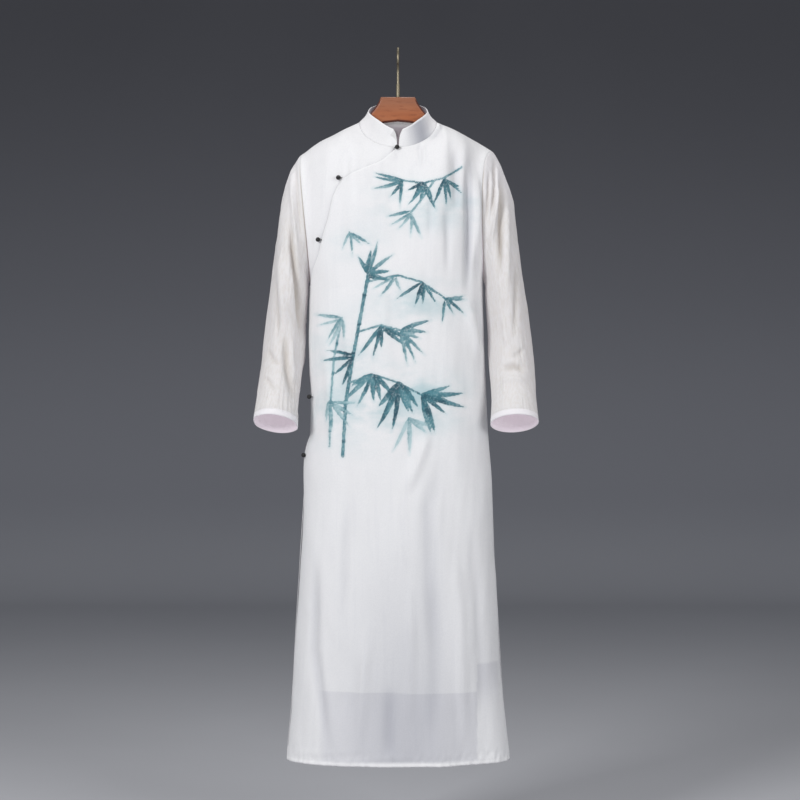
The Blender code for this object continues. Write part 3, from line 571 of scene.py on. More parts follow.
def nearest_on(path, x, z):
    """How far each point lies from a path, how far along the path that is, and its length."""
    nearest = np.full(x.shape, 1e3)
    along = np.zeros(x.shape)
    before = 0.0
    for start, end in zip(path[:-1], path[1:]):
        length = np.linalg.norm(end - start)
        way = (end - start) / length
        reach = np.clip((x - start[0]) * way[0] + (z - start[1]) * way[1], 0, length)
        gap = np.hypot(x - start[0] - reach * way[0], z - start[1] - reach * way[1])
        closer = gap < nearest
        nearest = np.where(closer, gap, nearest)
        along = np.where(closer, before + reach, along)
        before += length
    return nearest, along, before


def relief(points, folds):
    """How far the folds raise or sink each point, from its place seen from the front."""
    total = np.zeros(points.shape[:-1])
    for fold in folds:
        nearest, along, length = nearest_on(fold.path, points[..., 0], points[..., 2])
        share = along / length
        fade = ramp(0.0, FADE_IN, share) * ramp(1.0, FADE_OUT, share)
        total += fold.depth * fade * bell(nearest, FOLD_NARROW * fold.width)
    return total


def armhole_point(turn, side):
    """The armhole seam. turn is 0 at the armpit and 0.5 at the shoulder."""
    up = 1 - np.abs(1 - 2 * turn)
    face = np.where(turn <= 0.5, -1.0, 1.0)
    points = plain_body(side, up, face)
    points[..., 1] = np.where((up < 1e-6) | (up > 1 - 1e-6), 0.0, points[..., 1])
    return points


def ring_points(rows, side, height, turn):
    """One ring of the sleeve below its cap."""
    values = {key: smooth_table(rows, "z", key, height) for key in Ring._fields[1:]}
    lean = np.radians(values["swing"])
    dip = np.radians(values["tilt"])
    angle = 2 * math.pi * turn
    outward = side * -np.cos(angle) * values["half_width"]
    ahead = np.sin(angle) * values["half_depth"]
    x = values["x"] + outward * np.cos(dip)
    y = values["y"] - ahead * np.cos(lean)
    z = height + ahead * np.sin(lean) + side * outward * np.sin(dip)
    return stack(x, y, z)


def sleeve_surface(turn, along, side):
    """A sleeve's outer surface, by the turn round it and the place along it.

    along is 0 at the armhole, CAP_SHARE below the cap and 1 at the cuff.
    """
    rows = SLEEVE[side][::-1]
    top, bottom = rows[-1].z, rows[0].z
    turn, along = np.broadcast_arrays(turn, along)
    in_cap = np.clip(along / CAP_SHARE, 0, 1)
    leave = unit(np.broadcast_to(stack(side * CAP_OUTWARD, 0.0, -CAP_DOWN), (*turn.shape, 3)))
    start = armhole_point(turn, side)
    end = ring_points(rows, side, np.full(turn.shape, top), turn)
    length = np.linalg.norm(end - start, axis=-1, keepdims=True)
    arrive = unit(stack(side * CAP_SLANT, 0.0, -1.0)) * length
    cap = hermite(start, end, leave * length * CAP_PULL, arrive, in_cap[..., None])
    below = np.clip((along - CAP_SHARE) / (1 - CAP_SHARE), 0, 1)
    arm = ring_points(rows, side, top + (bottom - top) * below, turn)
    return np.where((along < CAP_SHARE)[..., None], cap, arm)


def waves(u, v, size_u, size_v, seed, count=14):
    """A smooth uneven field of about unit height, made of waves of about these lengths."""
    draw = np.random.default_rng(seed)
    total = np.zeros(np.broadcast(u, v).shape)
    for _ in range(count):
        angle, phase = draw.uniform(0, 2 * math.pi, 2)
        pace = draw.uniform(0.6, 1.5) * 2 * math.pi
        total += np.sin(pace * (np.cos(angle) * u / size_u + np.sin(angle) * v / size_v) + phase)
    return total / math.sqrt(count / 2)


def ease(grid, mask, rounds):
    """Softens a grid where the mask is high. Its border stays."""
    grid = grid.copy()
    part = mask[1:-1, 1:-1, None] * 0.5
    for _ in range(rounds):
        near = (grid[:-2, 1:-1] + grid[2:, 1:-1] + grid[1:-1, :-2] + grid[1:-1, 2:]) / 4
        grid[1:-1, 1:-1] += part * (near - grid[1:-1, 1:-1])
    return grid


def lengths_along(grid, axis):
    """How far each point lies along its row or column of the grid, in metres."""
    steps = np.linalg.norm(np.diff(grid, axis=axis), axis=-1)
    start = np.zeros_like(np.take(steps, [0], axis=axis))
    return np.concatenate([start, np.cumsum(steps, axis=axis)], axis=axis)


def grid_normal(grid, ring=False):
    """The direction across a grid of points, rows by columns, by its neighbours."""
    down = np.gradient(grid, axis=0)
    if ring:
        round_it = np.roll(grid, -1, axis=1) - np.roll(grid, 1, axis=1)
    else:
        round_it = np.gradient(grid, axis=1)
    return unit(np.cross(down, round_it))


def add_object(name, data):
    made = bpy.data.objects.new(name, data)
    bpy.context.scene.collection.objects.link(made)
    return made


def keep_fact(mesh, key, values):
    layer = mesh.attributes.new(key, "FLOAT", "POINT")
    layer.data.foreach_set("value", np.asarray(values, np.float32).reshape(-1))


def points_of(mesh):
    points = np.empty(len(mesh.vertices) * 3)
    mesh.vertices.foreach_get("co", points)
    return points.reshape(-1, 3)


def mesh_piece(name, grid, facts, ring=False):
    """A smooth mesh from a grid of points. facts are values a point, kept as attributes."""
    rows, columns = grid.shape[:2]
    index = np.arange(rows * columns).reshape(rows, columns)
    after = np.roll(index, -1, axis=1) if ring else index[:, 1:]
    before = index if ring else index[:, :-1]
    quads = np.stack([before[:-1], after[:-1], after[1:], before[1:]], axis=-1).reshape(-1, 4)
    mesh = bpy.data.meshes.new(name)
    mesh.vertices.add(rows * columns)
    mesh.vertices.foreach_set("co", grid.reshape(-1).astype(np.float32))
    mesh.loops.add(quads.size)
    mesh.loops.foreach_set("vertex_index", quads.reshape(-1).astype(np.int32))
    mesh.polygons.add(len(quads))
    mesh.polygons.foreach_set("loop_start", np.arange(0, quads.size, 4, dtype=np.int32))
    mesh.update(calc_edges=True)
    mesh.validate()
    for key, values in facts.items():
        keep_fact(mesh, key, values)
    mesh.shade_smooth()
    return add_object(name, mesh)


def turned(grid, outward, thick, facts):
    """The grid with a turned-in hem of a few rows or columns inside each of its sides."""
    def places(size):
        turn = np.arange(HEM_ROWS + 1)
        own = np.concatenate([turn[::-1], np.arange(size), size - 1 - turn])
        into = np.ones(len(own), bool)
        into[len(turn):-len(turn)] = False
        return own, into
    rows, rows_in = places(grid.shape[0])
    columns, columns_in = places(grid.shape[1])
    pick = np.ix_(rows, columns)
    inside = (rows_in[:, None] | columns_in[None, :]).astype(float)
    flat = grid[pick] - outward[pick] * (inside * thick)[..., None]
    new = {key: np.broadcast_to(values, grid.shape[:2])[pick] for key, values in facts.items()}
    # The turned-in cloth gets part of the inner faces' painted shade
    new["inside"] = inside * TURNED_SHADE
    return flat, new


def body_shell(across, up, face, lift=0.0):
    """The fine outer surface of a panel, with its folds and slight unevenness."""
    folds, seed = PANELS[face]
    across, up = np.broadcast_arrays(across, up)
    grid = plain_body(across, up, np.full(across.shape, float(face)))
    corner = bell(np.abs(across) - NECK_ACROSS, NECK_EASE) * ramp(0.25, 0.6, up)
    armpit = bell(up, ARMPIT_EASE) * ramp(1.0, 0.9, np.abs(across))
    grid = ease(grid, np.clip(corner * ramp(1.0, 0.97, up) + armpit, 0, 1), EASE_ROUNDS)
    outward = grid_normal(grid) * face
    wide, height = grid[..., 0], grid[..., 2]
    calm = ramp(1.0, CALM_EDGE, np.abs(across)) * ramp(1.0, CALM_EDGE, up)
    uneven = sum(
        rise * waves(wide, height, size_x, size_z, seed + i)
        for i, (rise, size_x, size_z) in enumerate(UNEVEN)
    )
    hem_wave = waves(wide, height * 0, HEM_WAVE_LENGTH, 1.0, seed + 2)
    hem_wave *= ramp(HEM_WAVE_TOP, HEM, height)
    pucker = waves(wide, height, *PUCKER_SIZE, seed + 3) * ramp(*PUCKER_REACH, height - HEM)
    rise = (RELIEF * relief(grid, folds) + uneven + HEM_WAVE * hem_wave) * calm
    return grid + outward * (rise + PUCKER * pucker + lift)[..., None]


def seam_sink(distance):
    """The small ditch along a seam, by the distance from it in metres."""
    return -SEAM_DEPTH * bell(distance, SEAM_WIDTH)


def edge_x(height):
    """Where the outer front's edge lies at a height."""
    edge = np.array(FLAP_EDGE)[::-1]
    return np.interp(height, edge[:, 1], edge[:, 0])


def flap_edge_across(up):
    """Where the outer front's edge crosses each row, by halving."""
    low, high = np.full(up.shape, -1.0), np.zeros(up.shape)
    for _ in range(30):
        middle = (low + high) / 2
        points = plain_body(middle, up, -1.0)
        past = points[:, 0] < edge_x(points[:, 2])
        low, high = np.where(past, middle, low), np.where(past, high, middle)
    height = height_at(up)
    peeled = EDGE_PEEL * ramp(*PEEL_STARTS, height) * ramp(*PEEL_ENDS, height)
    at = np.where((up < 0) & (height <= FLAP_EDGE_END), -1.0 + peeled, high)
    return np.where(up >= 1, 0.0, at)


def under_edge_across(up, edge):
    """How far the inner front reaches across under the outer one."""
    reach = UNDER_REACH * np.clip((LAST_FREE - up) / UNDER_TAPER, 0, 1)
    return np.where((up < 0) & (height_at(up) < FLAP_EDGE_END), UNDER_SIDE, edge + reach)


def rows_up():
    """The rows of a whole panel: even in height on the skirt, and even in share on the yoke."""
    skirt = up_at(np.linspace(HEM, ARMPIT, SKIRT_COUNT + 1))
    return np.concatenate([skirt, np.linspace(0, 1, YOKE_COUNT + 1)[1:]])


def hem_bands(grid, from_edge, seamed):
    """The rise of the turned cloth along the open slits and along the bottom."""
    slit = HEM_RAISE * ramp(SLIT_BAND, SLIT_BAND - BAND_STEP, from_edge) * ~seamed
    hem = HEM_RAISE * ramp(HEM_BAND, HEM_BAND - BAND_STEP, lengths_along(grid, 0))
    return np.maximum(slit, hem)


def hem_light(grid):
    """The painted highlight on the strip of doubled cloth along the bottom."""
    return ramp(HEM_LIGHT, HEM_LIGHT - 0.002, lengths_along(grid, 0))


def finish_panel(name, node, grid, outward, facts, slot="cloth", thick=CLOTH):
    return finish_cloth(name, *turned(grid, outward, thick, facts), slot, node)


def make_front():
    up = rows_up()
    edge = flap_edge_across(up)
    base = np.linspace(-1, 1, FRONT_COUNT)
    crowded = edge[:, None] + (base + 1) / (NECK_ACROSS + 1) * (NECK_ACROSS - edge[:, None])
    across = np.where(base < NECK_ACROSS, crowded, base)
    under = under_edge_across(up, edge)
    near = 1 - ramp(LAP_START, LAP_END, across - under[:, None])
    lapped = ramp(up_at(UNDER_PANEL_END - LAP_FADE), up_at(UNDER_PANEL_END), up) * (up < 1)
    grid = body_shell(across, up[:, None], -1, LAP * near * lapped[:, None])
    outward = -grid_normal(grid)
    from_edge = lengths_along(grid, 1)
    seamed = (up >= up_at(SLIT_TOP))[:, None]
    sink = seam_sink(from_edge[:, -1:] - from_edge) * seamed
    sink = sink + EDGE_ROLL * bell(from_edge, EDGE_ROLL_WIDTH) * seamed
    grid = grid + outward * (sink + hem_bands(grid, from_edge, seamed))[..., None]
    # Painted highlights on the closing edge and hem; painted shade below the lining and in folds
    closing = CLOSING_LIGHT * ramp(*CLOSING_REACH, from_edge) * seamed
    facts = {
        "unlined_shade": unlined_shade(grid, 1),
        "edge": np.maximum(closing, FRONT_HEM_LIGHT * hem_light(grid)),
        **print_on(grid), "shade": hollow_shade(grid) + trough_shade(grid, FRONT_FOLDS),
    }
    return finish_panel("robe_front", "front_panel", grid, outward, facts)


def make_under():
    up = rows_up()
    up = up[up >= up_at(UNDER_PANEL_END)]
    edge = np.where(up < up_at(FLAP_EDGE_END), -1.0, flap_edge_across(up))
    end = under_edge_across(up, edge) - UNDER_SHORT * (up >= LAST_FREE)
    base = np.linspace(-1, -1e-6, UNDER_COUNT)
    across = -1 + (base + 1) * (end[:, None] + 1)
    grid = body_shell(across, up[:, None], -1)
    outward = -grid_normal(grid)
    grid = grid + outward * seam_sink(lengths_along(grid, 1))[..., None]
    beyond = np.abs(grid[..., 0] - edge_x(grid[..., 2]))
    # A painted shadow of the outer front's edge on the inner front
    shadow = UNDER_SHADE * np.exp(-beyond / 0.004)
    facts = {"unlined_shade": 0.0, "edge": 0.0, "shade": shadow, **print_on(grid)}
    return finish_panel("robe_inner_front", "under_panel", grid, outward, facts)


def make_back():
    up = rows_up()
    across = np.linspace(-1, 1, BACK_COUNT)
    grid = body_shell(across[None, :], up[:, None], 1)
    outward = grid_normal(grid)
    from_edge = lengths_along(grid, 1)
    from_edge = np.minimum(from_edge, from_edge[:, -1:] - from_edge)
    seamed = (up >= up_at(SLIT_TOP))[:, None]
    side = np.sign(grid[..., 0])
    dent = EDGE_TURN * by_side(side, SLIT_TUCK) * bell(from_edge - TURN_AT, TURN_WIDTH)
    grid[..., 0] -= side * dent * ramp(up_at(SLIT_TOP), up_at(SLIT_TOP - SLIT_OPENS), up)[:, None]
    sink = seam_sink(from_edge) * seamed + hem_bands(grid, from_edge, seamed)
    grid = grid + outward * sink[..., None]
    # A painted highlight on the hem; painted shade below the lining and in folds and hollows
    facts = {
        "unlined_shade": unlined_shade(grid, 0), "edge": BACK_HEM_LIGHT * hem_light(grid), **NO_PRINT,
        "shade": trough_shade(grid, BACK_FOLDS) + hollow_shade(grid),
    }
    return finish_panel("robe_back", "back_panel", grid, outward, facts)


def trough_shade(grid, folds):
    """The shade painted into the folds' troughs, by their depth."""
    return TROUGH_SHADE * np.clip(-relief(grid, folds) / TROUGH_DEPTH, 0, 1)


def hollow_shade(grid):
    """The painted shade of the hollow that would show through the middle of the skirt."""
    height, wide = grid[..., 2], grid[..., 0]
    return HOLLOW_SHADE * bell(wide - HOLLOW_X, HOLLOW_WIDTH) * ramp(*HOLLOW_HEIGHTS, height)


def unlined_shade(grid, faced):
    """How far each point lies below the lining's hem, or beside its edge: 0 lined, 1 not. This
    sets the painted shade of the hollow that would show through the single cloth.

    faced is 1 where a facing runs up the left slit's edge, and 0 where there is none.
    """
    height, wide = grid[..., 2], grid[..., 0]
    hem = LINING_HEM + 0.0012 * waves(wide, 0 * wide, 0.20, 1.0, 5)
    stripe = ramp(*FACING_X, wide) * faced
    hem = hem + (FACING_TOP - LINING_HEM) * stripe
    shown = ramp(LINING_STEP, -LINING_STEP, height - hem)
    facing = 1 - stripe * ramp(FACING_TOP - 0.03, LINING_HEM - 0.05, height)
    return shown * facing * ramp(*LINED_RIGHT, wide) * ramp(*LINED_LEFT, wide)


def make_lining(name, face, node):
    up = up_at(np.linspace(LINING_HEM, LINING_TOP, LINING_ROWS))
    across = np.linspace(-LINING_REACH, LINING_REACH, LINING_COUNT)
    grid = body_shell(across[None, :], up[:, None], face, -LINING_DEPTH)
    outward = grid_normal(grid) * face
    return finish_panel(name, node, grid, outward, {}, "lining", LINING_CLOTH)


def make_sleeve(name, side, node):
    """A crinkled sleeve with its own inner face, so that the open cuff shows a hollow arm."""
    turn = np.arange(SLEEVE_TURNS) / SLEEVE_TURNS
    along = np.concatenate([
        np.linspace(0, CAP_SHARE, CAP_ROWS, endpoint=False),
        np.linspace(CAP_SHARE, 1, ARM_ROWS),
    ])
    grid = sleeve_surface(turn[None, :], along[:, None], side)
    outward = grid_normal(grid, True) * side
    down = lengths_along(grid, 0)
    free = ramp(0.0, 0.03, down)
    in_band = ramp(CUFF_HEM + 0.0008, CUFF_HEM - 0.0008, down[-1:] - down)
    front = (grid[..., 1] < grid[..., 1].mean(axis=1, keepdims=True)) * 1.0
    # The sleeve's back has the front's folds, mirrored, a little aside and softer
    shifted = grid * np.array([1.0, -1.0, 1.0]) + np.array([side * 0.006, 0.0, 0.03])
    folds = relief(grid, SLEEVE_FOLDS[side]) * front
    folds += relief(shifted, SLEEVE_FOLDS[side]) * (1 - front) * 0.8
    # Painted shade in the folds' troughs and along the armhole seam, below the shoulder
    shade = TROUGH_SHADE * np.clip(-folds / SLEEVE_TROUGH_DEPTH, 0, 1) * free
    low = ramp(*SEAM_SHADE_HEIGHTS, grid[..., 2])
    shade += SEAM_SHADE * ramp(*SEAM_SHADE_REACH, down) * low
    angle = 2 * math.pi * turn[None, :]
    lobes_a, lobes_b = np.cos(angle) * SLEEVE_LOBE, np.sin(angle) * SLEEVE_LOBE
    seed = 50 + side
    soft = waves(lobes_a + 0.37 * down, lobes_b, SOFT_SIZE, SOFT_SIZE, seed)
    crinkle = waves(
        lobes_a, lobes_b + 0.10 * down, CRINKLE_SIZE, CRINKLE_SIZE, seed + 4, CRINKLE_WAVES,
    )
    crinkle *= 0.65 + 0.35 * waves(lobes_a, down, CRINKLE_PATCH, CRINKLE_PATCH, seed + 8)
    rise = (RELIEF * folds + SLEEVE_SOFT * soft) * free
    rise += SLEEVE_CRINKLE * crinkle * free * (1 - 0.75 * in_band)
    rise += HEM_RAISE * in_band + seam_sink(down)
    outer = grid + outward * rise[..., None]
    inner = outer[::-1] - outward[::-1] * CLOTH * 1.4
    # The inner face takes the painted glow and tint, the outer face the painted shade
    facts = {
        "inside": (np.ones_like(down), np.zeros_like(down)),
        "band": (in_band[::-1], in_band),
        "shade": (0 * shade, shade),
    }
    facts = {key: np.concatenate([*pair, pair[0][:1]]) for key, pair in facts.items()}
    closed = np.concatenate([inner, outer, inner[:1]])
    return welded(finish_cloth(name, closed, facts, "crepe", node, True))


def reshaped(piece, change):
    """The piece after a change of its mesh."""
    shape = bmesh.new()
    shape.from_mesh(piece.data)
    change(shape)
    shape.to_mesh(piece.data)
    shape.free()
    piece.data.shade_smooth()
    return piece


def welded(piece):
    """The piece with the points that lie on each other made one."""
    return reshaped(
        piece, lambda shape: bmesh.ops.remove_doubles(shape, verts=shape.verts, dist=1e-6),
    )


def collar_point(turn_share, rise):
    """The collar's outer surface.

    turn_share runs from 0 at the right front corner to 1 at the left one.
    """
    gap = COLLAR_SLIT + COLLAR_SPREAD * rise + COLLAR_CORNER * rise**COLLAR_CORNER_POWER
    first = np.degrees(np.arcsin(gap / RIM_HALF_WIDTH))
    side = np.where(turn_share < 0.5, -1.0, 1.0)
    angle = first + (180 - first) * (1 - np.abs(1 - 2 * turn_share))
    low, high = neck_point(angle), rim_point(angle)
    points = low + (high - low) * rise[..., None]
    points[..., 2] -= COLLAR_BOW * np.sin(math.pi * rise) * np.sin(np.radians(angle)) ** 2
    points[..., 0] *= side
    return points, angle * side


def make_collar():
    """The stand collar: outer face, rounded rim and inner face, with a crease on its left side."""
    share, rise = np.meshgrid(np.linspace(0, 1, COLLAR_COUNT), np.linspace(0, 1, COLLAR_ROWS))
    grid, angle = collar_point(share, rise)
    outward = grid_normal(grid)
    if ((grid - grid.mean(axis=(0, 1))) * outward).sum() < 0:
        outward = -outward

    def slanting(at, slant, width):
        return bell(angle - at + slant * rise, width)

    crease = COLLAR_CREASE * slanting(*CREASE_PLACE) * rise
    crease += COLLAR_PLEAT * slanting(*PLEAT_PLACE)
    soft = 0.0005 * waves(angle / 90, rise, 0.5, 1.5, 77) * np.sin(math.pi * rise)
    grid = grid + outward * (crease + soft + seam_sink(rise * COLLAR_HIGH))[..., None]
    inner = grid[::-1] - outward[::-1] * COLLAR_WALL
    rim = (grid[-1:] + inner[:1]) / 2 + np.array([0, 0, 0.0006])
    in_it = np.concatenate([0 * rise, 0 * rise[:1], np.ones_like(rise)])
    from_rim = np.concatenate([1 - rise, 0 * rise[:1], rise])
    round_it = np.concatenate([angle, angle[-1:], angle[::-1]])
    # Painted highlight along the rim, painted shade on the outer face's left and over the inner
    # face, and a painted glow on the inner face's sides
    facts = {"inside": in_it, "unlined_shade": 0 * in_it}
    facts["edge"] = ramp(0.10, 0.03, from_rim) * (1 - in_it)
    facts |= {key: value + 0 * in_it for key, value in NO_PRINT.items()}
    facts["shade"] = COLLAR_SHADE * bell(round_it - 40, 20) * (1 - in_it) + in_it
    facts["painted_glow"] = in_it * bell(np.abs(round_it) - 85, 28)
    closed = np.concatenate([grid, rim, inner])
    made = reshaped(
        finish_cloth("robe_collar", closed, facts, "cloth", "collar"),
        lambda shape: bmesh.ops.holes_fill(
            shape, edges=[edge for edge in shape.edges if edge.is_boundary], sides=0,
        ),
    )
    made.data.set_sharp_from_angle(angle=math.radians(60))
    return made


# The print: sprays of bamboo in ink, a generic design. Each leaf has its base, direction in
# degrees (0 to the right, -90 down), length, width, bend and tone, from 0 (dark) to 1 (pale).
Leaf = namedtuple("Leaf", "x z way length width bend tone")
Culm = namedtuple("Culm", "width tone path")
Mist = namedtuple("Mist", "x z wide high strength")
CULMS = (
    Culm(0.0075, 0.42, ((-0.116, -0.870), (-0.110, -0.760), (-0.094, -0.660), (-0.062, -0.490))),
    Culm(0.0050, 0.66, ((-0.144, -0.850), (-0.142, -0.755), (-0.134, -0.660), (-0.118, -0.580))),
    Culm(0.0028, 0.50, ((-0.104, -0.716), (-0.050, -0.700), (0.000, -0.716), (0.050, -0.742))),
    Culm(0.0022, 0.55, ((-0.084, -0.610), (-0.036, -0.596), (0.004, -0.606))),
    Culm(0.0024, 0.48, ((0.134, -0.262), (0.096, -0.288), (0.054, -0.298), (0.010, -0.292))),
    Culm(0.0018, 0.60, ((0.074, -0.296), (0.050, -0.332), (0.028, -0.360))),
    Culm(0.0022, 0.52, ((-0.064, -0.505), (0.000, -0.492), (0.050, -0.506), (0.100, -0.540))),
)
SPRAYS = (
    # x, z of the twig's joint, middle direction, spread, leaves, length, tone
    ((0.050, -0.742), -40, 100, 6, 0.070, 0.10),
    ((0.000, -0.716), -85, 90, 6, 0.074, 0.02),
    ((-0.052, -0.700), -105, 110, 6, 0.066, 0.16),
    ((0.004, -0.606), -30, 110, 6, 0.056, 0.30),
    ((-0.036, -0.596), -80, 100, 5, 0.058, 0.12),
    ((-0.062, -0.490), 50, 130, 6, 0.056, 0.25),
    ((-0.094, -0.662), -150, 90, 5, 0.050, 0.06),
    ((-0.118, -0.580), -130, 110, 5, 0.044, 0.58),
    ((-0.142, -0.755), -60, 100, 5, 0.052, 0.52),
    ((0.022, -0.790), -60, 90, 4, 0.056, 0.66),
    ((0.054, -0.298), -105, 110, 6, 0.050, 0.08),
    ((0.096, -0.288), -60, 100, 5, 0.046, 0.18),
    ((0.010, -0.292), -150, 100, 5, 0.048, 0.22),
    ((0.028, -0.360), -115, 110, 5, 0.042, 0.50),
    ((0.050, -0.506), -85, 110, 5, 0.050, 0.10),
    ((0.100, -0.540), -40, 100, 5, 0.046, 0.26),
    ((-0.004, -0.492), -125, 90, 4, 0.042, 0.46),
    ((-0.100, -0.400), -70, 90, 4, 0.042, 0.42),
)
MISTS = (
    Mist(-0.050, -0.765, 0.150, 0.066, 0.95),
    Mist(-0.100, -0.640, 0.075, 0.060, 0.55),
    Mist(0.040, -0.745, 0.090, 0.045, 0.60),
    Mist(0.060, -0.345, 0.100, 0.042, 0.80),
    Mist(0.050, -0.545, 0.100, 0.040, 0.80),
    Mist(-0.090, -0.425, 0.050, 0.030, 0.45),
)


def leaves():
    """Every leaf of the sprays, each a little different."""
    draw = np.random.default_rng(208)
    for (x, z), middle, spread, count, length, tone in SPRAYS:
        size = LEAF_SIZE * length
        for i in range(count):
            way = middle + spread * (i / max(count - 1, 1) - 0.5) + draw.uniform(-9, 9)
            yield Leaf(
                x + draw.uniform(-0.003, 0.003), z + draw.uniform(-0.003, 0.003), way,
                size * draw.uniform(0.62, 1.12), size * draw.uniform(0.13, 0.19),
                draw.uniform(-0.16, 0.16), np.clip(tone + draw.uniform(-0.08, 0.16), 0, 1),
            )


def print_on(grid):
    """The print at each point: how far inside a stroke it lies, in mm, its tone, and the mist."""
    x, z = grid[..., 0], grid[..., 2]
    ink = np.full(x.shape, FAR_OUT)
    tone = np.zeros(x.shape)

    def stroke(depth, shade):
        depth = np.clip(depth * 1000, FAR_OUT, -FAR_OUT)
        over = depth > np.minimum(ink, 1.0)
        tone[...] = np.where(over, shade, tone)
        ink[...] = np.maximum(ink, depth)

    for culm in CULMS:
        nearest, along, _ = nearest_on(np.array(culm.path), x, z)
        joint = bell(along % JOINT_PACE - JOINT_PACE / 2, JOINT_WIDTH)
        half = np.maximum(culm.width / 2 * (1 + 0.25 * joint), THINNEST_STROKE)
        stroke(half - nearest, culm.tone - 0.35 * joint)
    for leaf in sorted(leaves(), key=lambda one: -one.tone):
        way = math.radians(leaf.way)
        ahead = ((x - leaf.x) * math.cos(way) + (z - leaf.z) * math.sin(way)) / leaf.length
        inside = np.clip(ahead, 0, 1)
        beside = (z - leaf.z) * math.cos(way) - (x - leaf.x) * math.sin(way)
        beside = beside - leaf.bend * leaf.length * inside**2
        half = leaf.width / 2 * 1.9 * inside**0.55 * (1 - inside) ** 0.85
        past = np.maximum(np.maximum(-ahead, ahead - 1), 0) * leaf.length
        depth = np.where(past > 0, -np.hypot(past, beside), half - np.abs(beside))
        stroke(depth, np.clip(leaf.tone + 0.22 * beside / leaf.width + 0.30 * inside, 0, 1))
    mist = sum(
        one.strength * bell(x - one.x, one.wide) * bell(z - one.z, one.high) for one in MISTS
    )
    return {"ink": ink, "tone": tone, "mist": np.clip(mist, 0, 1)}


# Materials


def rgb(red, green, blue):
    """A colour as linear light from its values on screen, 0 to 255."""
    values = [v / 255 for v in (red, green, blue)]
    return tuple(v / 12.92 if v <= 0.04045 else ((v + 0.055) / 1.055) ** 2.4 for v in values) + (1,)


class Maker:
    """Builds one procedural material, node by node."""

    def __init__(self, name):
        self.material = bpy.data.materials.new(name)
        self.material.use_nodes = True
        self.tree = self.material.node_tree
        self.tree.nodes.clear()
        self.output = self.tree.nodes.new("ShaderNodeOutputMaterial")
        self.place = self.node("ShaderNodeTexCoord").outputs["Object"]

    def node(self, kind, inputs=(), **settings):
        made = self.tree.nodes.new(kind)
        for key, value in settings.items():
            setattr(made, key, value)
        for key, value in dict(inputs).items():
            if isinstance(value, bpy.types.NodeSocket):
                self.tree.links.new(value, made.inputs[key])
            else:
                made.inputs[key].default_value = value
        return made

    def fact(self, name):
        return self.node("ShaderNodeAttribute", attribute_name=name).outputs["Fac"]

    def axis(self, name):
        return self.node("ShaderNodeSeparateXYZ", {0: self.place}).outputs[name]

    def noise(self, scale, detail=3.0, stretch=(1, 1, 1), roughness=0.55):
        where = self.node("ShaderNodeMapping", {"Vector": self.place, "Scale": stretch})
        inputs = {"Vector": where.outputs[0], "Scale": scale, "Detail": detail}
        inputs["Roughness"] = roughness
        return self.node("ShaderNodeTexNoise", inputs).outputs["Fac"]

    def wave(self, direction, scale, distortion, detail=1.0, detail_scale=1.0):
        return self.node("ShaderNodeTexWave", {
            "Vector": self.place, "Scale": scale, "Distortion": distortion,
            "Detail": detail, "Detail Scale": detail_scale,
        }, bands_direction=direction).outputs["Fac"]

    def math(self, operation, first, second):
        return self.node("ShaderNodeMath", {0: first, 1: second}, operation=operation).outputs[0]

    def times(self, first, second):
        return self.math("MULTIPLY", first, second)

    def steer(self, value, low, high, to_low=0.0, to_high=1.0):
        inputs = {"Value": value, "From Min": low, "From Max": high}
        inputs |= {"To Min": to_low, "To Max": to_high}
        made = self.node("ShaderNodeMapRange", inputs, interpolation_type="SMOOTHSTEP")
        return made.outputs[0]

    def mix(self, share, first, second, blend="MIX"):
        inputs = {0: share, 6: first, 7: second}
        made = self.node("ShaderNodeMix", inputs, data_type="RGBA", blend_type=blend)
        return made.outputs[2]

    def tint(self, colour, share, strength, towards, blend="MIX"):
        """The colour taken towards another, by a share and its strength."""
        return self.mix(self.times(share, strength), colour, towards, blend)

    def bump(self, height, distance, strength, below=None):
        inputs = {"Height": height, "Distance": distance, "Strength": strength}
        if below is not None:
            inputs["Normal"] = below
        return self.node("ShaderNodeBump", inputs).outputs[0]

    def surface(self, through=0.0, **inputs):
        """The finished surface. through is the share of light that passes a thin cloth."""
        keyed = {key.replace("_", " "): value for key, value in inputs.items()}
        shader = self.node("ShaderNodeBsdfPrincipled", keyed).outputs[0]
        if through:
            thin = {"Color": inputs["Base_Color"], "Normal": inputs["Normal"]}
            sheer = self.node("ShaderNodeBsdfTranslucent", thin).outputs[0]
            shader = self.node("ShaderNodeMixShader", {0: through, 1: shader, 2: sheer}).outputs[0]
        self.tree.links.new(shader, self.output.inputs["Surface"])
        return self.material


def weave(make):
    """A fine plain weave: two crossed waves, broken up by slubs."""
    threads = [make.wave(direction, 300.0, 1.5, 1.0, 2.0) for direction in ("X", "Z")]
    slubs = make.times(make.noise(60.0, 3.0, (1, 1, 12)), 1.6)
    return make.math("ADD", make.math("ADD", *threads), slubs)


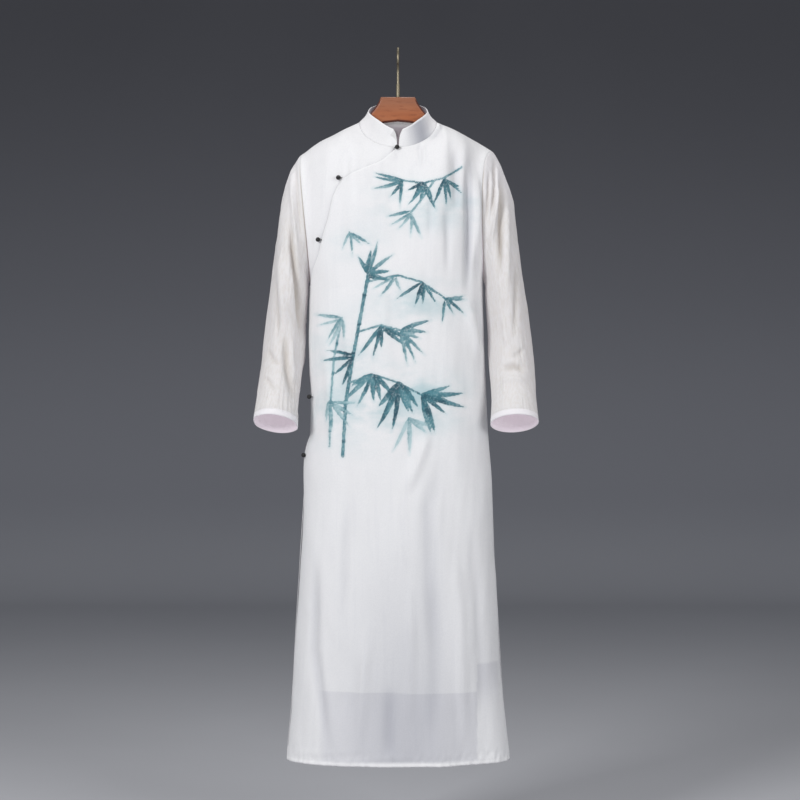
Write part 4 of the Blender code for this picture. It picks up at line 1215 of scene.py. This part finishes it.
def cloth_material():
    """Smooth white cloth with the print, painted shade in its folds, below the lining and inside,
    painted highlights along its edges, and a painted glow inside the collar.
    """
    make = Maker("smooth_cloth")
    white = make.mix(make.noise(5.0, 2.0), rgb(240, 240, 241), rgb(245, 245, 246))
    fine = make.steer(make.noise(420.0, 2.0), 0.35, 0.65)
    white = make.tint(white, fine, 0.30, rgb(230, 230, 233))
    streak = make.steer(make.noise(90.0, 3.0, (1, 1, 0.06)), 0.52, 0.66)
    white = make.tint(white, streak, 0.10, rgb(218, 219, 224))
    # The print
    cloud = make.steer(make.noise(12.0, 4.0, (1, 1, 1.8)), 0.30, 0.72)
    colour = make.tint(white, make.times(make.fact("mist"), cloud), 0.80, rgb(172, 205, 211))
    wash = make.steer(make.noise(34.0, 4.0, (1, 1, 1.3)), 0.25, 0.75, -0.16, 0.20)
    tone = make.math("ADD", make.fact("tone"), wash)
    dark = make.mix(make.steer(tone, 0.0, 0.55), rgb(34, 76, 92), rgb(70, 132, 144))
    stroke = make.mix(make.steer(tone, 0.45, 1.0), dark, rgb(158, 196, 202))
    grain = make.steer(make.noise(160.0, 4.0), 0.2, 0.8, -0.9, 0.9)
    within = make.steer(make.math("ADD", make.fact("ink"), grain), -0.5, 0.9)
    inked = make.times(within, make.steer(tone, 1.3, 0.2, 0.55, 0.97))
    inked = make.times(inked, make.steer(make.noise(230.0, 2.0), 0.30, 0.52, 0.72, 1.0))
    halo = make.steer(make.fact("ink"), -6.0, 0.5, 0.0, 0.22)
    colour = make.mix(inked, make.mix(halo, colour, rgb(168, 203, 209)), stroke)
    # Painted shade below the lining's hem and in the folds, painted highlights on the edges, and
    # painted shade on the inner faces
    colour = make.tint(colour, make.fact("unlined_shade"), 0.60, rgb(231, 231, 235), "MULTIPLY")
    colour = make.mix(make.fact("shade"), colour, rgb(188, 190, 198), "MULTIPLY")
    colour = make.tint(colour, make.fact("edge"), 0.8, rgb(251, 251, 252))
    colour = make.mix(make.fact("inside"), colour, rgb(146, 136, 142))
    normal = make.bump(weave(make), 0.00010, 0.5)
    normal = make.bump(make.noise(26.0, 3.0, (1, 1, 0.35)), 0.0016, 0.5, normal)
    # The emission is a painted glow on the collar's inner sides
    return make.surface(
        0.22, Base_Color=colour, Emission_Color=rgb(206, 196, 203),
        Emission_Strength=make.times(make.fact("painted_glow"), COLLAR_PAINTED_GLOW), Roughness=0.78,
        Normal=normal, Sheen_Weight=0.12, Sheen_Roughness=0.5, Specular_IOR_Level=0.25,
    )


def crepe_material():
    """Crinkled off-white crepe, smoother in the cuff's band, with painted shade in its crinkles,
    folds and seam, painted light towards its top, and a painted glow on its inner face.
    """
    make = Maker("crinkled_crepe")
    white = make.mix(make.noise(7.0, 2.0), rgb(225, 225, 223), rgb(232, 232, 231))
    fine = make.noise(150.0, 4.0, (1.6, 1.6, 0.42), 0.65)
    # Painted shade: the colour darkens where the crinkles sink
    crinkle_shade = make.steer(make.steer(fine, 0.36, 0.60), 0.0, 1.0, 0.72, 1.0)
    white = make.mix(crinkle_shade, rgb(214, 209, 200), white)
    band = make.times(make.fact("band"), 0.85)
    white = make.mix(band, white, rgb(241, 241, 243))
    # Painted light: paler towards the sleeve's top
    high = make.steer(make.axis("Z"), -0.40, -0.25, 0.0, 0.75)
    white = make.mix(high, white, rgb(240, 240, 241))
    # Painted shade in the folds and along the seam; a painted tint and glow on the inner face
    white = make.mix(make.fact("shade"), white, rgb(196, 187, 172), "MULTIPLY")
    colour = make.mix(make.fact("inside"), white, rgb(226, 219, 224))
    plain = make.math("SUBTRACT", 1.0, band)
    normal = make.bump(weave(make), 0.00010, 0.5)
    normal = make.bump(make.times(fine, plain), 0.0011, 0.7, normal)
    ridges = make.times(make.noise(55.0, 3.0, (1, 1, 0.30)), plain)
    normal = make.bump(ridges, 0.0022, 0.6, normal)
    return make.surface(
        0.30, Base_Color=colour, Emission_Color=rgb(214, 205, 213),
        Emission_Strength=make.times(make.fact("inside"), INSIDE_PAINTED_GLOW), Roughness=0.82,
        Normal=normal, Sheen_Weight=0.1, Sheen_Roughness=0.5, Specular_IOR_Level=0.2,
    )


def lining_material():
    make = Maker("lining_cloth")
    white = make.mix(make.noise(160.0, 3.0, (1, 1, 0.2)), rgb(226, 227, 231), rgb(238, 238, 241))
    normal = make.bump(weave(make), 0.00008, 0.4)
    return make.surface(0.60, Base_Color=white, Roughness=0.6, Normal=normal, Sheen_Weight=0.2)


def button_material():
    make = Maker("button_cord")
    black = make.mix(make.noise(600.0, 3.0), rgb(9, 9, 10), rgb(34, 33, 33))
    normal = make.bump(make.wave("DIAGONAL", 260.0, 3.0), 0.00035, 0.8)
    return make.surface(Base_Color=black, Roughness=0.42, Normal=normal, Specular_IOR_Level=0.4)


def wood_material():
    """Varnished wood with wide rings and fine pores, painted shade round the rim and a painted
    change of tone with height.
    """
    make = Maker("varnished_wood")
    pores = make.steer(make.noise(420.0, 3.0, (0.10, 1, 1)), 0.56, 0.66)
    # Painted light: more orange towards the bottom, browner towards the top
    low = make.steer(make.axis("Z"), -0.150, -0.104)
    colour = make.mix(low, rgb(159, 90, 52), rgb(137, 89, 66))
    colour = make.tint(colour, make.wave("Z", 30.0, 3.5, 2.0, 0.5), 0.30, rgb(140, 80, 50))
    bend = make.steer(make.noise(9.0, 2.0, (1, 1, 3)), 0.35, 0.70, 0.0, 0.45)
    colour = make.mix(bend, colour, rgb(172, 112, 78))
    colour = make.tint(colour, pores, 0.45, rgb(112, 56, 30))
    # Painted shade round the rim
    rim = make.steer(make.fact("rim"), 0.10, 0.70, 0.0, 0.92)
    colour = make.mix(rim, colour, rgb(78, 28, 14))
    normal = make.bump(pores, 0.00012, 0.5)
    normal = make.bump(make.noise(70.0, 2.0, (0.3, 1, 1)), 0.0003, 0.4, normal)
    return make.surface(
        Base_Color=colour, Roughness=0.36, Normal=normal, Coat_Weight=0.12, Coat_Roughness=0.30,
    )


def metal_material():
    make = Maker("hook_metal")
    colour = make.mix(make.noise(120.0, 4.0, (1, 1, 3)), rgb(112, 104, 88), rgb(142, 134, 116))
    rough = make.steer(make.noise(300.0, 3.0), 0.3, 0.7, 0.42, 0.56)
    normal = make.bump(make.noise(500.0, 2.0, (1, 1, 0.05)), 0.00005, 0.5)
    return make.surface(Base_Color=colour, Metallic=1.0, Roughness=rough, Normal=normal)


def thread_material():
    make = Maker("white_thread")
    white = make.mix(make.noise(900.0, 2.0), rgb(214, 215, 219), rgb(236, 237, 240))
    return make.surface(Base_Color=white, Roughness=0.7)


def studio_material(floor_z):
    """A plain matt surface, pale on the floor and grey up the backdrop."""
    make = Maker("studio_sweep")
    height = make.axis("Z")
    # Painted shade: the floor darker towards the back, the backdrop darker towards its top
    floor = make.mix(make.steer(make.axis("Y"), 0.4, 5.0), rgb(196, 197, 202), rgb(170, 172, 179))
    wall = make.mix(make.steer(height, floor_z, 1.6), rgb(150, 152, 160), rgb(93, 94, 100))
    colour = make.mix(make.steer(height, floor_z, floor_z + 0.50), floor, wall)
    colour = make.tint(colour, make.noise(1.3, 3.0), 0.12, rgb(128, 130, 136))
    return make.surface(Base_Color=colour, Roughness=0.9, Specular_IOR_Level=0.1)


SURFACES = {
    "cloth": cloth_material(),
    "crepe": crepe_material(),
    "lining": lining_material(),
    "button": button_material(),
    "wood": wood_material(),
    "metal": metal_material(),
}
THREAD = thread_material()


# Pieces


def dress(piece, slot, nodes, surface=None):
    """Gives a piece its surface, picked by its slot, and its body, and hides the solids that it
    stands for.
    """
    piece.data.materials.clear()
    piece.data.materials.append(surface or SURFACES[slot])
    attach(piece, "root")
    if nodes:
        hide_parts(*nodes)
    return piece


def finish_cloth(name, grid, facts, slot, node, ring=False):
    return dress(mesh_piece(name, grid, facts, ring), slot, [node])


def join_shapes(name, shapes, slot, nodes=(), surface=None):
    """One mesh from many (points, faces) shapes."""
    points, faces, count = [], [], 0
    for own_points, own_faces in shapes:
        points.append(np.asarray(own_points, float))
        faces.extend([[index + count for index in face] for face in own_faces])
        count += len(own_points)
    mesh = bpy.data.meshes.new(name)
    mesh.from_pydata(np.concatenate(points).tolist(), [], faces)
    mesh.shade_smooth()
    return dress(add_object(name, mesh), slot, nodes, surface)


def ring_faces(rows, columns):
    """The faces between rings of points, each ring as many points as there are columns."""
    faces = []
    for i in range(rows - 1):
        for j in range(columns):
            a, b = i * columns + j, i * columns + (j + 1) % columns
            faces.append([a, a + columns, b + columns, b])
    return faces


def tube(path, radius, sides):
    """A round cord along a path, with closed ends, as points and faces."""
    path = np.asarray(path, float)
    way = unit(np.gradient(path, axis=0))
    guide = np.array([0.0, 0.0, 1.0]) if abs(way[0, 2]) < 0.9 else np.array([1.0, 0.0, 0.0])
    turn = np.arange(sides)[:, None] * 2 * math.pi / sides
    rings = []
    for place, ahead in zip(path, way):
        first = unit(np.cross(ahead, guide))
        second = np.cross(ahead, first)
        guide = np.cross(first, ahead)
        rings.append(place + radius * (np.cos(turn) * first + np.sin(turn) * second))
    last = (len(path) - 1) * sides
    ends = [list(range(sides)), [last + j for j in reversed(range(sides))]]
    return np.concatenate(rings), ring_faces(len(path), sides) + ends


def stitches(line, outward, length, gap):
    """Short raised stitches along a line of points, each a flat spindle, as shapes."""
    line = np.asarray(line, float)
    reach = np.concatenate([[0], np.cumsum(np.linalg.norm(np.diff(line, axis=0), axis=1))])
    shapes = []
    for start in np.arange(gap, reach[-1] - length, length + gap):
        at = np.array([start, start + length / 2, start + length])
        ends = np.stack([np.interp(at, reach, line[:, k]) for k in range(3)], axis=-1)
        lift = np.stack([np.interp(at, reach, outward[:, k]) for k in range(3)], axis=-1)
        beside = np.cross(unit(ends[2] - ends[0]), lift[1])
        side, rise = beside * THREAD_RADIUS * 1.4, lift[1] * THREAD_RADIUS
        middle = ends[1] + rise
        points = [ends[0], ends[2], middle + side, middle + rise, middle - side]
        points.append(middle - rise * 1.5)
        faces = []
        for i in range(4):
            a, b = 2 + i, 2 + (i + 1) % 4
            faces += [[0, a, b], [1, b, a]]
        shapes.append((points, faces))
    return shapes


def knot(name, node, centre, outward, seed):
    """A knotted cord ball with its short loop, in place of the plain ball."""
    rows, columns = 25, 32
    tip, turn = np.meshgrid(
        np.linspace(0, math.pi, rows), np.arange(columns) * 2 * math.pi / columns, indexing="ij",
    )
    way = np.stack([np.sin(tip) * np.cos(turn), np.sin(tip) * np.sin(turn), np.cos(tip)], axis=-1)
    spin = np.linalg.qr(np.random.default_rng(seed).normal(size=(3, 3)))[0]
    x, y, z = np.moveaxis(way @ spin, -1, 0)
    cords = np.abs(np.sin(4 * np.arctan2(y, x) + 5 * z))
    radius = BUTTON_RADIUS * (0.90 + 0.10 * cords**0.6)
    ball = (centre + way * radius[..., None]).reshape(-1, 3)
    shapes = [(ball, ring_faces(rows, columns))]
    beside = unit(np.cross(outward, np.array([0.0, 0.0, 1.0])))
    base = centre - outward * (BUTTON_RADIUS * 0.88)
    for side in (-1, 1):
        bow = [
            base + beside * side * (0.0012 + 0.0052 * share) - outward * 0.0004 * share
            + np.array([0, 0, -0.0009 * math.sin(math.pi * share)])
            for share in np.linspace(0, 1, 7)
        ]
        shapes.append(tube(bow, CORD_RADIUS, 6))
    return welded(join_shapes(name, shapes, "button", [node]))


def node_middle(name):
    """The middle of a CAD node's box, from the frame."""
    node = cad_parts[name]
    corners = np.array([node.matrix_world @ Vector(corner) for corner in node.bound_box])
    return (corners.min(axis=0) + corners.max(axis=0)) / 2


def hanger_shape():
    """The wooden hanger with its edges rounded, and its rim marked for painted shade, except along
    the top.
    """
    left, right = ([
        (side * x, z + (HANGER_SEAT[side] if x >= ARM_START else 0.0)) for x, z in HANGER_HALF
    ] for side in (1, -1))
    outline = left + right[-2:0:-1]
    shape = bpy.data.curves.new("hanger_shape", "CURVE")
    shape.dimensions = "2D"
    shape.fill_mode = "BOTH"
    shape.extrude = HANGER_THICK / 2 - HANGER_EDGE
    shape.bevel_depth = HANGER_EDGE
    shape.bevel_resolution = 5
    shape.offset = -HANGER_EDGE
    line = shape.splines.new("POLY")
    line.points.add(len(outline) - 1)
    for point, (x, z) in zip(line.points, outline):
        point.co = (x, z, 0, 1)
    line.use_cyclic_u = True
    holder = add_object("hanger_holder", shape)
    holder.rotation_euler = (math.pi / 2, 0, 0)
    bpy.context.view_layer.update()
    depsgraph = bpy.context.evaluated_depsgraph_get()
    mesh = bpy.data.meshes.new_from_object(holder.evaluated_get(depsgraph))
    mesh.name = "hanger"
    mesh.transform(holder.matrix_world)
    bpy.data.objects.remove(holder)
    made = add_object("hanger", mesh)
    points = points_of(mesh)
    flatness = (np.abs(points[:, 1]) - (HANGER_THICK / 2 - HANGER_EDGE)) / HANGER_EDGE
    rim = 1 - np.clip(flatness, 0, 1) ** 14
    keep_fact(mesh, "rim", rim * ramp(0.002, 0.008, HANGER_TOP - points[:, 2]))
    mesh.shade_smooth()
    mesh.set_sharp_from_angle(angle=math.radians(40))
    return dress(made, "wood", ["hanger_body"])


def hook_shape():
    """The hook's round wire, closed at its tip."""
    radius = HOOK_INNER + HOOK_WIRE
    centre = -HOOK_INNER
    turn_in = math.radians(HOOK_LEAN)
    foot = centre + radius * math.cos(math.pi - turn_in) - radius * math.sin(turn_in)
    points = [(0.0, 0.0, z) for z in np.linspace(HANGER_TOP + 0.0003, foot, 12)]
    for angle in np.linspace(0, turn_in, 14)[1:-1]:
        points.append((0.0, -radius * (1 - math.cos(angle)), foot + radius * math.sin(angle)))
    for angle in np.linspace(math.pi - turn_in, -math.radians(HOOK_END_ANGLE), 90):
        points.append((0.0, -radius * math.sin(angle), centre + radius * math.cos(angle)))
    return join_shapes("hook_wire", [tube(points, HOOK_WIRE, 24)], "metal", ["hook"])


def hem_lines(pieces):
    """The stitching along the bottom hem, as shapes."""
    shapes = []
    height = HEM + HEM_TURN
    for name, face in (("robe_front", -1), ("robe_back", 1)):
        points = points_of(pieces[name].data)
        low = points[np.abs(points[:, 2] - height) < 0.0022]
        line = []
        for x in np.arange(low[:, 0].min() + 0.006, low[:, 0].max() - 0.006, 0.004):
            near = low[np.abs(low[:, 0] - x) < 0.0035]
            line.append((x, face * (face * near[:, 1]).max(), height))
        line = np.array(line)
        outward = unit(np.cross(unit(np.gradient(line, axis=0)), np.array([0.0, 0.0, 1.0])))
        outward *= np.where((outward[:, 1] * face) > 0, 1, -1)[:, None]
        shapes += stitches(line + outward * 0.00005, outward, *HEM_STITCH)
    return shapes


def cuff_lines(side):
    """The stitching round a cuff's hem, as shapes."""
    turn = np.linspace(0, 1, 121)
    share = 1 - (CUFF_HEM + 0.0012) / ARM_LENGTH * (1 - CAP_SHARE)
    along = np.array([share - 0.002, share, share + 0.002])
    grid = sleeve_surface(turn[None, :], along[:, None], side)
    outward = grid_normal(grid)[1] * side
    return stitches(grid[1] + outward * 0.0012, outward, *CUFF_STITCH)


def build():
    pieces = {}
    for make in (make_front, make_under, make_back, make_collar):
        made = make()
        pieces[made.name] = made
    for name, face, node in (
        ("robe_lining_front", -1, "lining_front"), ("robe_lining_back", 1, "lining_back"),
    ):
        pieces[name] = make_lining(name, face, node)
    for name, side, node in (
        ("robe_sleeve_right", -1, "sleeve_picture_left"),
        ("robe_sleeve_left", 1, "sleeve_picture_right"),
    ):
        pieces[name] = make_sleeve(name, side, node)
    for i, place in enumerate(("collar", "chest", "underarm", "waist", "slit")):
        name, node = "knot_" + place, "button_" + place
        centre = node_middle(node)
        outward = unit(np.array([centre[0] * 0.6, -0.1, 0.0]))
        pieces[name] = knot(name, node, centre, outward, 900 + i)
    pieces["hanger"] = hanger_shape()
    pieces["hook_wire"] = hook_shape()
    pieces["hem_stitches"] = join_shapes("hem_stitches", hem_lines(pieces), "cloth", (), THREAD)
    for name, side in (("cuff_stitches_right", -1), ("cuff_stitches_left", 1)):
        pieces[name] = join_shapes(name, cuff_lines(side), "crepe", (), THREAD)
    dress_ferrule()
    return pieces


def dress_ferrule():
    """The ferrule is shown by its own solid, with the hook's metal."""
    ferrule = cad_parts["hook_ferrule"]
    ferrule.data.materials.clear()
    ferrule.data.materials.append(SURFACES["metal"])


def add_light(name, place, aim, size, power):
    data = bpy.data.lights.new(name, "AREA")
    data.shape = "RECTANGLE"
    data.size, data.size_y = size
    data.energy = power
    lamp = add_object(name, data)
    lamp.location = place
    lamp.rotation_euler = (Vector(aim) - Vector(place)).to_track_quat("-Z", "Y").to_euler()


def make_stage():
    """A pale floor that sweeps up into a mid-grey backdrop, soft lights and the camera."""
    floor_z, back_y, bend, half_width, top_z = -1.74, 6.5, 1.6, 7.0, 6.0
    profile = [(-half_width, floor_z), (0.0, floor_z), (back_y - bend, floor_z)]
    for angle in np.linspace(0, math.pi / 2, 18)[1:]:
        profile.append((
            back_y - bend + bend * math.sin(angle), floor_z + bend * (1 - math.cos(angle)),
        ))
    profile.append((back_y, top_z))
    points = [(x, y, z) for x in (-half_width, half_width) for y, z in profile]
    count = len(profile)
    mesh = bpy.data.meshes.new("studio")
    mesh.from_pydata(points, [], [[i, i + count, i + count + 1, i + 1] for i in range(count - 1)])
    mesh.shade_smooth()
    mesh.materials.append(studio_material(floor_z))
    add_object("studio", mesh)
    add_light("key", (-2.2, -2.9, 0.6), (0, 0, -0.80), (0.9, 1.3), 97)
    add_light("fill", (2.3, -2.9, 0.2), (0, 0, -0.90), (1.6, 1.8), 58)
    add_light("top", (0.2, 0.3, 2.0), (0, 0, -0.4), (1.6, 1.2), 20)
    world = bpy.data.worlds.new("studio_air")
    bpy.context.scene.world = world
    world.use_nodes = True
    air = world.node_tree.nodes["Background"]
    air.inputs["Color"].default_value = rgb(222, 223, 226)
    air.inputs["Strength"].default_value = 0.36
    lens = bpy.data.cameras.new("camera")
    camera = add_object("camera", lens)
    camera.location = (0.0043, -CAMERA_AWAY, -0.7525)
    camera.rotation_euler = (math.pi / 2, 0, 0)
    lens.sensor_width = SENSOR_WIDTH
    lens.lens = SENSOR_WIDTH * CAMERA_AWAY / SEEN_WIDTH
    bpy.context.scene.camera = camera
    bpy.context.scene.view_settings.view_transform = "Standard"


pieces = build()
make_stage()
